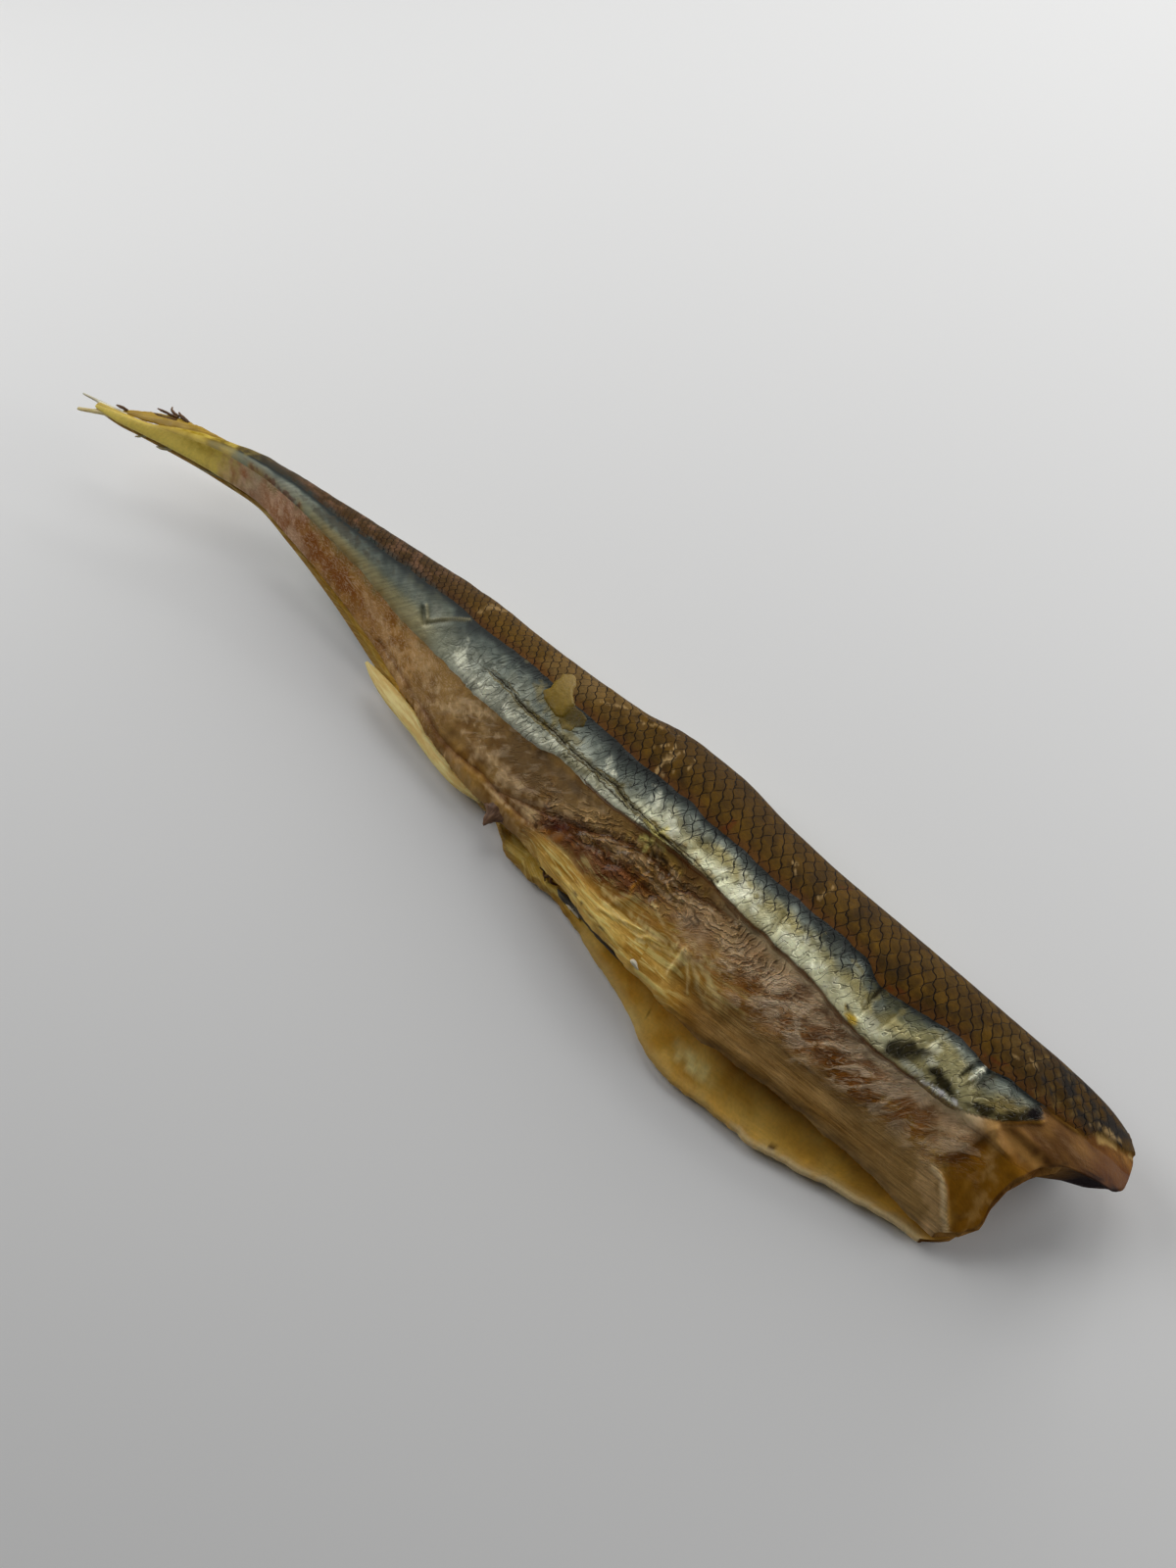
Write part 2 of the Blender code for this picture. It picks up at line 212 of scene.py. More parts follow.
def streaked(x, y, size, tilt, seed, stretch):
    """Wandering streaks along a direction, from 0 between them to 1 on them."""
    turn = math.radians(tilt)
    u, v = x * math.cos(turn) + y * math.sin(turn), y * math.cos(turn) - x * math.sin(turn)
    v = v + 0.6 * size * rumple(u / 2.5, v, size * 1.5, seed)
    return np.clip(1 - 2.4 * np.abs(rumple(u / stretch, v, size, seed + 1, 2)), 0, 1)


def right_edge(x):
    """The ragged belly edge of the upper flap."""
    ragged = 0.22 * rumple(x, 0 * x, 3.1, 11) + 0.08 * rumple(x, 0 * x, 0.9, 12)
    return along(x, RIGHT_BELLY_EDGE) + ragged * ease((x + 30) / 20)


def left_edge(x):
    """The ragged belly edge of the lower flap, drawn in beside the anal fin and standing out ahead of it."""
    ragged = 0.25 * rumple(x, 0 * x, 4.3, 13) + 0.1 * rumple(x, 0 * x, 1.1, 14)
    hidden = 1.1 * between(x, -16, 6.5, 8, 3) - 0.8 * between(x, 6, 17, 3, 5)
    return along(x, LEFT_BELLY_EDGE) + ragged * ease((x + 30) / 20) + hidden


def upper_skin(x, y, edge):
    """Height of the right flank over the point x, y."""
    back = along(x, BACK_EDGE)
    share = np.clip((back - y) / (back - edge), 0, 1)
    ridge = along(x, RIDGE_SHARE)
    side, top = along(x, BACK_HEIGHT), along(x, TOP_HEIGHT)
    lip = along(x, RIGHT_EDGE_HEIGHT) + along(x, EDGE_HALF_THICKNESS)
    shoulder = side + (top - side) * dome(share / ridge)
    slope = top - (top - lip) * np.clip((share - ridge) / (1 - ridge), 0, 1) ** 1.6
    below_band = ease((along(x, BAND_FOOT) - y) / 0.5) * ease((y - edge) / 3.0)
    return np.where(share < ridge, shoulder, slope) - along(x, BAND_STEP) * below_band


def under_skin(x, y, edge):
    """Height of the left flank, which lies on the table, over the point x, y."""
    back = along(x, BACK_EDGE)
    share = np.clip((back - y) / (back - edge), 0, 1)
    ridge = along(x, RIDGE_SHARE)
    side, low = along(x, BACK_HEIGHT), along(x, UNDERSIDE)
    lip = along(x, LEFT_EDGE_HEIGHT) - along(x, EDGE_HALF_THICKNESS)
    shoulder = side - (side - low) * dome(share / ridge)
    slope = low + (lip - low) * np.clip((share - ridge) / (1 - ridge), 0, 1) ** 3
    return np.maximum(np.where(share < ridge, shoulder, slope) - FLATTENED * ease(share / 0.05), 0)


def wall(x, y, upper):
    """Height of the belly cavity's upper or lower wall over the point x, y."""
    top, bottom = upper_skin(x, y, right_edge(x)), under_skin(x, y, left_edge(x))
    room = np.maximum(top - bottom - LOWEST_GAP, 0)
    ceiling = top - np.minimum(along(x, RIGHT_WALL), room / 2)
    floor = bottom + np.minimum(along(x, LEFT_WALL), room / 2)
    closing = np.sqrt(1 - (1 - np.clip((along(x, ROOF) - y) / 4.0, 0, 1)) ** 2)
    middle, half = (ceiling + floor) / 2, (ceiling - floor) / 2 * closing
    return middle + half if upper else middle - half


def band_top(x):
    """The band's upper edge, a little ragged."""
    return along(x, BAND_TOP) + 0.12 * rumple(x, 0 * x, 2.2, 15, 3) * ease((x + 50) / 20)


def band_foot(x):
    """The band's lower edge."""
    return along(x, BAND_FOOT) + 0.10 * rumple(x, 0 * x, 1.8, 16, 3) * ease((x + 50) / 20)


def crumpled(x, y, size, seed):
    """Sharp little ridges between sunken facets, about -1 to 1, like creased foil."""
    x, y = x + 0.5 * size * rumple(x, y, size * 1.7, seed), y + 0.5 * size * rumple(x, y, size * 1.7, seed + 1)
    return 1 - 1.6 * np.abs(rumple(x, y, size, seed + 2)) - 0.8 * np.abs(rumple(x, y, size * 0.45, seed + 3))


SCRATCH = ((-21.5, 5.4), (-19.8, 3.8), (-15.0, 7.2))
CREASE = (
    (-7, 2.7), (-3, 2.2), (-1, 1.5), (2, 1.0), (6, 0.8), (8, 0.3), (13, -0.4), (17, -0.5), (18.4, -1.1),
    (22, -1.8), (27, -2.7), (31, -3.3),
)
SECOND_CREASE = (
    (6, 0.2), (9, -0.4), (13, -0.7), (17, -1.6), (21, -2.1), (24, -2.7), (28, -2.5), (32, -3.0), (36, -4.1),
)
VENT_FOLD = (
    (-26, -0.6), (-20, -2.6), (-13, -5.2), (-9, -6.6), (-5, -7.4), (0, -7.6), (3, -8.3), (6, -8.9), (9, -9.2),
)
CREAM_FOLD = ((-9, -4.6), (-5, -5.4), (-1, -5.8), (4, -6.6), (8, -6.6))
STAR_FOLD = ((27.4, -6.4), (26.4, -8.5), (26.8, -10.2), (25.4, -11.6))
FIN_TOP = (
    (8.0, -9.9), (12.0, -9.7), (16.0, -10.0), (19.0, -10.8), (22.0, -11.7), (26.0, -12.1), (31.0, -12.2),
    (36.0, -11.9), (42.0, -12.4),
)
FIN_FOOT = ((8.0, -10.1), (11.0, -10.9), (15.0, -12.2), (19.0, -13.2), (24.0, -14.6), (30.0, -15.7), (36.0, -16.2))
SIDE_FOLD = ((3, -8.2), (6, -7.9), (8, -7.5), (11, -7.4), (14, -7.0))
HOLLOW = ((12, -6.9), (16, -6.6), (19, -5.7), (22, -4.9), (26, -4.7), (29, -5.3))
SECOND_HOLLOW = ((31, -6.3), (33, -5.6), (36, -5.2), (39, -5.3))
LONG_FOLD = ((13, -7.6), (19, -7.8), (26, -8.0), (33, -8.4))


def ray(hub, angle, reach):
    """A straight line out from the middle of a star of folds."""
    turn = math.radians(angle)
    return hub, (hub[0] + reach * math.cos(turn), hub[1] + reach * math.sin(turn))


def relief(x, y):
    """How far the upper side's folds, creases and wrinkles stand out of the smooth skin."""
    foot, top = band_foot(x), band_top(x)
    across = np.clip((top - y) / (top - foot), 0, 1)
    on_band = ease((top - y) / 0.35) * ease((y - foot) / 0.25) * between(x, -60, 80.5, 20, 3)
    headward = ease((x + 25) / 50)
    on_flank = ease((foot - y) / 0.4) * ease((x + 60) / 20)
    on_back = ease((y - top) / 0.6)
    raised = 0.10 * rumple(x, y, 7.0, 21) + 0.05 * rumple(x, y, 2.6, 22)
    raised += on_back * 0.05 * rumple(x + 0.5 * y, y * 0.5, 1.7, 23)
    # the band swells between its edges and is creased like foil
    raised += on_band * (0.14 + 0.34 * headward) * 2.5 * across**2.2 * (1 - across) ** 0.3
    raised += on_band * (0.04 + 0.12 * headward) * rumple(x + 0.45 * y, y * 0.7, 2.9, 24, 2)
    raised += on_band * 0.05 * ease((x - 2) / 30) * crumpled(x + 0.5 * y, y * 0.5, 1.3, 27)
    for middle, height, tilt, deep in (
        ((30.4, -0.6), 4.0, 62, 0.3), ((34.9, -2.9), 2.0, 66, 0.3), ((43.8, -3.0), 4.4, 100, 0.35),
        ((50.2, -4.9), 2.6, 120, 0.15), ((57.4, -4.0), 7.0, 84, 0.35), ((60.4, -4.0), 5.0, 80, 0.15),
        ((65.8, -3.0), 3.4, 70, 0.15), ((70.6, -3.8), 3.2, 76, 0.35), ((72.2, -3.6), 3.6, 78, 0.3),
    ):
        raised -= deep * on_band * patch(x, y, middle, height, 0.9, tilt, 0.15)
    raised += 0.45 * on_band * patch(x, y, (71.3, -3.7), 3.0, 0.9, 78, 0.1)
    # a long crease runs down the band's lower third and joins its foot
    raised -= (0.15 + 0.1 * rumple(x, 0 * x, 1.6, 28)) * near_line(x, y, CREASE, 0.3, 0.12) * ease((33 - x) / 4)
    raised -= 0.12 * near_line(x, y, SECOND_CREASE, 0.3, 0.2)
    raised += 0.1 * near_line(x, y - 0.6, CREASE, 0.6, 0.12) * ease((26 - x) / 4)
    for line in (SCRATCH, ((-9.2, 0.2), (-8.0, 2.4), (-7.2, 4.0))):
        raised += 0.16 * near_line(x, y, line, 0.5) - 0.3 * near_line(x + 0.3, y + 0.45, line, 0.35)
    # a fold of smooth skin lies along the back where the fin was
    raised += 0.22 * near_line(x, y, ((6.0, 11.3), (12.0, 10.4), (18.5, 9.6)), 0.9, 0.2)
    # the flank: sunk and folded behind the vent, lumpy over the ribs, fibrous along the edge
    for line, deep, width, warp in (
        (HOLLOW, 0.6, 1.0, 0.5), (SECOND_HOLLOW, 0.6, 1.0, 0.4), (LONG_FOLD, 0.4, 0.7, 0.5),
        (VENT_FOLD, 0.28, 0.45, 0.12), (SIDE_FOLD, 0.25, 0.4, 0.15),
    ):
        raised -= on_flank * deep * near_line(x, y, line, width, warp)
    raised += on_flank * 0.16 * near_line(x, y + 0.8, VENT_FOLD, 0.8, 0.12)
    for line in (CREAM_FOLD, STAR_FOLD):
        raised += on_flank * 0.22 * near_line(x, y, line, 0.9, 0.25)
    wrinkled = patch(x, y, (23, -6.2), 32, 6.5, -2, 0.3)
    raised += on_flank * wrinkled * 0.09 * crumpled(x * 0.6, y * 1.3, 1.3, 31)
    lumpy = patch(x, y, (56, -10.2), 40, 7.5, -3, 0.25)
    lumps = rumple(0.5 * (x * 0.85 + y * 0.52), 1.0 * (y * 0.85 - x * 0.52), 1.6, 26, 2)
    raised += on_flank * lumpy * 0.3 * lumps
    raised += on_flank * 0.3 * patch(x, y, (36.5, -12.7), 3.2, 1.2, 84, 0.3)
    for angle, reach in ((5, 6), (-12, 8), (-30, 7), (-48, 5), (-88, 3.4), (-160, 6), (190, 12), (180, 7)):
        raised += on_flank * 0.16 * near_line(x, y, ray((36.3, -11.2), angle, reach), 0.45, 0.3)
    for points in (
        ((74.5, -9.5), (77.5, -11.5), (78.6, -15.5)), ((76.5, -7.5), (79.6, -9.2), (81.5, -9.5)),
        ((79, -5.4), (83, -6.3), (86, -6.4)),
    ):
        raised += 0.22 * near_line(x, y, points, 1.1, 0.5)
    raised += 0.15 * near_line(x, y, FLAP_RIM, 0.6)
    # the flap's end overlaps the smooth shoulder, and the flesh at the nape is sunk below the skin
    raised -= 0.3 * shoulder_side(x, y) + 0.4 * bare_flesh(x, y)
    return raised


def shoulder_side(x, y):
    """1 on the smooth shoulder between the flap's end and the cut."""
    return ease((x - along(y, FLAP_END)) / 0.6) * ease((-5.5 - y) / 1.2)


def bare_flesh(x, y):
    """1 where the skin is gone from the nape and the flesh shows."""
    top = along(x, ((77.0, -4.5), (78.2, -1.9), (81.0, -1.5), (84.0, -1.3), (85.6, 0.2), (88.6, 0.8), (91.0, 1.6)))
    start = along(y, ((-6.2, 76.2), (-5.2, 77.5), (-4.2, 78.6), (-3.3, 79.7), (-2.4, 79.3), (-1.6, 78.0)))
    below = top + 0.15 * rumple(x, y, 1.2, 31) - y
    return ease(below / 0.35) * ease((x - start) / 0.5) * ease((y + 9) / 2.5)


def leaned(s, share, cut):
    """Moves a station s along the fish to where the slanting cut at the nape puts it."""
    return s + ease((s - NAPE_X + CUT_REACH) / CUT_REACH) * (along(share, cut) - NAPE_X)


def displaced(grid, height):
    """The grid of points moved along its own normals by height."""
    lengthways, crossways = np.gradient(grid, axis=0), np.gradient(grid, axis=1)
    normal = np.cross(crossways, lengthways)
    normal /= np.linalg.norm(normal, axis=2, keepdims=True) + 1e-12
    return grid + normal * height[..., None]


def right_side(s):
    """The upper flank, from the back to the belly edge: its points, and how far round each lies."""
    t = [np.linspace(0, 1, n + 1)[:-1] for n in (HIDE_COLUMNS, BAND_COLUMNS)]
    zone = np.concatenate([t[0], 1 + t[1], 2 + np.linspace(0, 1, FLANK_COLUMNS + 1)])[None, :]
    x = s + 0 * zone
    for _ in range(6):
        back, edge = along(x, BACK_EDGE), right_edge(x)
        top = (back - band_top(x)) / (back - edge)
        foot = (back - band_foot(x)) / (back - edge)
        share = np.where(zone < 1, top * zone**1.7, top + (foot - top) * (zone - 1))
        share = np.where(zone > 2, foot + (1 - foot) * (zone - 2), share)
        x = leaned(s, share, RIGHT_CUT)
    back, edge = along(x, BACK_EDGE), right_edge(x)
    y = back + (edge - back) * share
    grid = np.stack([x, y, upper_skin(x, y, edge)], 2)
    return displaced(grid, relief(x, y) * ease(share / 0.05) * ease((x + 84) / 6)), share


def left_side(s):
    """The flank underneath, in the same way."""
    share = ((np.arange(LEFT_COLUMNS + 1) / LEFT_COLUMNS) ** 1.6)[None, :]
    x = leaned(s, share, LEFT_CUT)
    back, edge = along(x, BACK_EDGE), left_edge(x)
    y = back + (edge - back) * share
    grid = np.stack([x, y, under_skin(x, y, edge)], 2)
    return grid, share + 0 * x


def cavity_side(s, upper):
    """One wall of the belly, from its edge to the roof of the cavity."""
    count = RIGHT_WALL_COLUMNS if upper else LEFT_WALL_COLUMNS
    inward = ((np.arange(count + 1) / count) ** 1.3)[None, :]
    share = 1 + (ROOF_SHARE - 1) * inward
    x = leaned(s, share, RIGHT_CUT if upper else LEFT_CUT)
    edge = right_edge(x) if upper else left_edge(x)
    y = edge + (np.maximum(along(x, ROOF), edge + 0.4) - edge) * inward
    z = wall(x, y, upper)
    if not upper:
        z = z + 0.12 * rumple(x, y, 3.0, 41) * ease(inward / 0.2) * ease((x - 10) / 15)
    return np.stack([x, y, z], 2), share + 0 * x


def lip(outer, inner):
    """Points round the edge of a flap, from its outer skin to its inner one."""
    t = (np.arange(LIP_COLUMNS) + 1) / (LIP_COLUMNS + 1)
    first, last = outer[:, -1:, :], inner[:, :1, :]
    middle = first + (last - first) * t[None, :, None]
    bulge = np.sin(t * math.pi)[None, :, None] * np.abs(first[..., 2:] - last[..., 2:]) * 0.35
    middle[..., 1:2] -= bulge
    return middle


def body_points():
    """The whole skin as a grid of points, tail to nape and once round, the side that each column belongs to, and
    which rows close the ends."""
    s = np.linspace(TAIL_X, NAPE_X, ROWS)[:, None]
    right, right_share = right_side(s)
    left, left_share = left_side(s)
    inner, inner_share = cavity_side(s, True)
    floor, floor_share = cavity_side(s, False)
    roof = (inner[:, -1] + floor[:, -1]) / 2
    inner[:, -1], floor[:, -1] = roof, roof
    left[:, 0] = right[:, 0]
    rims = np.ones((ROWS, LIP_COLUMNS))
    sides = (right, lip(right, inner), inner, floor[:, ::-1], lip(left, floor)[:, ::-1], left[:, ::-1])
    grid = np.concatenate(sides, 1)
    share = np.concatenate([right_share, rims, inner_share, floor_share[:, ::-1], rims, left_share[:, ::-1]], 1)
    side = np.repeat(range(6), [part.shape[1] for part in sides])

    def seam(row):
        """Where each point of an end ring goes when the ring is pinched shut along the middle of its wall."""
        def at(number, share_at):
            mine = side == number
            order = np.argsort(share[row][mine])
            known, points = share[row][mine][order], grid[row][mine][order]
            return np.stack([np.interp(share_at, known, points[:, k]) for k in range(3)], 1)

        closed = np.zeros_like(grid[row])
        back_nodes = left_share[row][left_share[row] < ROOF_SHARE].tolist() + [ROOF_SHARE]
        chains = (
            ((0, 5), np.array(back_nodes), lambda p: p <= ROOF_SHARE, (0, 5)),
            ((0, 1, 2), np.sort(inner_share[row]), lambda p: p > ROOF_SHARE, (0, 2)),
            ((3, 4, 5), np.sort(floor_share[row]), lambda p: p > ROOF_SHARE, (5, 3)),
        )
        for members, nodes, picked, (one, other) in chains:
            mine = np.isin(side, members) & picked(share[row])
            snapped = nodes[np.abs(share[row][mine][:, None] - nodes[None, :]).argmin(1)]
            closed[mine] = (at(one, snapped) + at(other, snapped)) / 2
        roof_only = np.isin(side, (2, 3)) & (share[row] <= ROOF_SHARE + 1e-9)
        closed[roof_only] = (at(0, np.array([ROOF_SHARE])) + at(5, np.array([ROOF_SHARE]))) / 2
        return closed

    def pinched(row, outward):
        target = seam(row) + [outward * 0.5, 0, 0]
        angles = [0.5 * math.pi * k / CUT_RINGS for k in range(1, CUT_RINGS + 1)]
        return [grid[row] + (target - grid[row]) * [math.sin(a), 1 - math.cos(a), 1 - math.cos(a)] for a in angles]

    rings = pinched(0, -1)[::-1] + list(grid) + pinched(ROWS - 1, 1)
    return np.stack(rings), side, np.array([1] * CUT_RINGS + [0] * ROWS + [1] * CUT_RINGS)


def placed(points):
    """Millimetres from the keys' own origin to metres in the fish's frame."""
    middle = [(fish_low.x + fish_high.x) / 2, (fish_low.y + fish_high.y) / 2, fish_low.z]
    return (points - [*KEYED_MIDDLE, 0]) * MM + middle


def skinned(name, grids, maps, paints=None, finish_of=None):
    """A closed mesh over one or more grids of points. A paint holds a colour for each corner of each face, a map
    holds a place for each point, and finish_of numbers the finish of each face."""
    bm = bmesh.new()
    for number, points in enumerate(grids):
        rows, columns = points.shape[:2]
        made = bmesh.ops.create_grid(bm, x_segments=columns - 1, y_segments=rows - 1, size=0.5)["verts"]
        spot = np.array([vert.co[:2] for vert in made])
        column = np.rint((spot[:, 0] + 0.5) * (columns - 1)).astype(int)
        row = np.rint((spot[:, 1] + 0.5) * (rows - 1)).astype(int)
        for vert, place in zip(made, placed(points[row, column])):
            vert.co = place
        place_of = {vert: (j, i) for vert, j, i in zip(made, row.tolist(), column.tolist())}
        faces = {face for vert in made for face in vert.link_faces}
        for face in faces if finish_of else ():
            first = tuple(min(place_of[vert][k] for vert in face.verts) for k in (0, 1))
            face.material_index = int(finish_of[number][first])
        for key, values in maps.items():
            layer = bm.loops.layers.uv.get(key) or bm.loops.layers.uv.new(key)
            for face in faces:
                for corner in face.loops:
                    corner[layer].uv = values[number][place_of[corner.vert]]
        for key, values in (paints or {}).items():
            layer = bm.loops.layers.float_color.get(key) or bm.loops.layers.float_color.new(key)
            for face in faces:
                first = min(place_of[vert][1] for vert in face.verts)
                for corner in face.loops:
                    j, i = place_of[corner.vert]
                    corner[layer] = values[number][j, first, i - first]
    bmesh.ops.remove_doubles(bm, verts=bm.verts, dist=2e-6)
    bmesh.ops.dissolve_degenerate(bm, edges=bm.edges, dist=1e-7)
    bmesh.ops.recalc_face_normals(bm, faces=bm.faces)
    mesh = bpy.data.meshes.new(name)
    bm.to_mesh(mesh)
    bm.free()
    mesh.polygons.foreach_set("use_smooth", [True] * len(mesh.polygons))
    piece = bpy.data.objects.new(name, mesh)
    bpy.context.scene.collection.objects.link(piece)
    return piece


def albedo(red, green, blue):
    """The linear colour of a finish that reads as these display values in the studio's light."""
    return np.array([min((value / 255) ** 2.2 / 0.72, 1.0) for value in (red, green, blue)])


def over(paint, colour, amount):
    """The paint with a colour laid over it by the amount, 0 to 1."""
    return paint + (colour - paint) * np.clip(amount, 0, 1)[..., None]


def blend(dark, pale, share):
    """A colour between two that are given as display values."""
    return over(albedo(*dark), albedo(*pale), share)


class Coat:
    """The skin's colour at the points x, y, laid on in layers. Each layer's colour is in display values or an array."""

    def __init__(self, x, y, paint):
        self.x, self.y, self.paint = x, y, paint

    def lay(self, colour, amount):
        self.paint = over(self.paint, albedo(*colour) if isinstance(colour, tuple) else colour, amount)

    def dab(self, colour, much, *shape):
        self.lay(colour, much * patch(self.x, self.y, *shape))

    def line(self, colour, much, *shape):
        self.lay(colour, much * near_line(self.x, self.y, *shape))


def tail_yellow(x, small):
    """The yellow stump, palest at its end."""
    deep = blend((134, 110, 28), (164, 142, 62), 0.5 + 0.9 * small)
    return over(deep, albedo(166, 142, 68), ease((-69 - x) / 10))


def back_paint(x, y):
    """Olive brown, greyer towards the tail and darkest at the nape."""
    below = band_top(x) - y
    broad, small = rumple(x, y, 4.0, 61, 3), rumple(x + 0.3 * y, y, 1.1, 62, 3)
    skin = Coat(x, y, blend((52, 37, 8), (72, 52, 12), 0.5 + 0.7 * broad))
    skin.lay((86, 62, 16), 0.3 + 0.5 * small)
    skin.lay((84, 62, 26), 0.4 * ease((14 - x) / 14))
    skin.lay((76, 48, 24), 0.7 * ease((below + 1.8) / 1.6))
    skin.lay((88, 68, 24), ease((-below - 3.6) / 3.0) * ease((x - 45) / 15) * (0.1 + 0.6 * small))
    skin.lay((50, 34, 8), 0.5 * ease((-below - 2.5) / 4) * ease((x - 12) / 8))
    skin.dab((100, 80, 48), 0.5, (4, 9.5), 18, 6, -3, 0.5)
    skin.lay((56, 42, 28), 0.75 * ease((-8 - x) / 22))
    skin.lay((92, 68, 50), 0.5 * ease((-18 - x) / 8) * (0.3 + 1.8 * small))
    skin.lay((58, 54, 44), 0.8 * ease((-46 - x) / 10))
    skin.lay((48, 52, 48), 0.7 * ease((below + 1.3) / 1.2) * ease((-12 - x) / 12) * (0.7 + small))
    nape = ease((x - 70) / 12) * ease((y + 2.5) / 3) * (0.6 + 0.9 * small)
    skin.lay((34, 30, 26), nape)
    skin.lay((84, 66, 34), 0.5 * ease((x - 66) / 8) * np.clip(rumple(x, y, 1.0, 63, 3) - 0.3, 0, 1) * 2)
    # crusts, nicks and smears
    for middle, length, width, tilt, much in (
        ((19.4, 8.5), 2.8, 0.4, 115, 0.7), ((20.4, 7.2), 2.8, 0.4, 80, 0.7), ((19.8, 5.5), 3.6, 0.4, 95, 0.7),
        ((22.6, 7.6), 2.6, 0.3, 95, 0.6), ((20.6, 4.2), 1.8, 0.3, 150, 0.5), ((14.6, 9.6), 3.4, 0.5, 20, 0.45),
        ((9.2, 9.2), 4.0, 0.5, 30, 0.4), ((-14.6, 10.8), 3.0, 1.6, 60, 0.4), ((40.6, 4.6), 1.4, 0.4, 40, 0.6),
        ((41.4, 3.9), 1.2, 0.3, 120, 0.6), ((45.8, 3.9), 2.0, 0.4, 80, 0.6), ((73.5, 1.0), 1.4, 0.3, 20, 0.6),
        ((76.2, 1.8), 1.5, 0.3, 160, 0.6), ((86.8, 0.9), 3.4, 0.7, 12, 0.5), ((18.2, 7.8), 1.6, 0.25, 50, 0.6),
        ((21.6, 5.4), 1.4, 0.25, 30, 0.6),
    ):
        skin.dab((160, 132, 88), much, middle, length, width, tilt, 0.9)
    for middle, length, width, tilt in (
        ((31.6, 3.6), 2.2, 0.7, 80), ((58.6, -1.3), 3.0, 0.5, 25), ((72.2, -0.8), 3.0, 0.4, 15),
        ((47.0, 6.4), 1.6, 0.6, 40),
    ):
        skin.dab((82, 40, 10), 0.7, middle, length, width, tilt, 0.8)
    skin.lay(tail_yellow(x, small), ease((-57 - x + 2 * small) / 11))
    return skin.paint


SLATE_DEPTH = (
    (-60, 0.6), (-30, 2.0), (-18, 3.4), (-8, 3.6), (4, 3.4), (12, 3.4), (20, 3.1), (27, 1.5), (34, 1.7), (44, 2.4),
    (50, 3.0), (54, 2.8), (58, 1.8), (63, 1.9), (67, 1.4), (72, 1.1), (76, 1.1),
)


def slate_edge(x, y, reach=1.0):
    """1 in the dark blue-grey upper edge of the band, fading towards its middle."""
    uneven = 1 + 0.3 * rumple(x + 0.5 * y, y * 0.7, 1.1, 72, 2) + 0.25 * rumple(x, 0 * y, 3.0, 73)
    return ease(1.15 - (band_top(x) - y) / (reach * along(x, SLATE_DEPTH) * uneven))


def knotted(skin):
    """A small yellow knot in the skin at the band's foot, with dark folds behind it."""
    for end in ((22.8, -2.3), (23.4, -3.7), (25.8, -1.5), (26.6, -2.3), (24.6, -4.5), (27.0, -3.3)):
        skin.line((232, 204, 116), 0.9, ((25.0, -2.8), end), 0.42, 0.15)
    for line in (
        ((25.4, -2.6), (27.0, -2.5), (29.2, -2.3)), ((25.4, -3.1), (26.8, -3.4), (28.6, -3.3), (30.6, -3.4)),
        ((24.6, -3.4), (26.0, -4.2), (28.0, -4.3)), ((22.4, -2.8), (24.4, -3.1)),
    ):
        skin.line((40, 28, 8), 0.9, line, 0.32, 0.2)


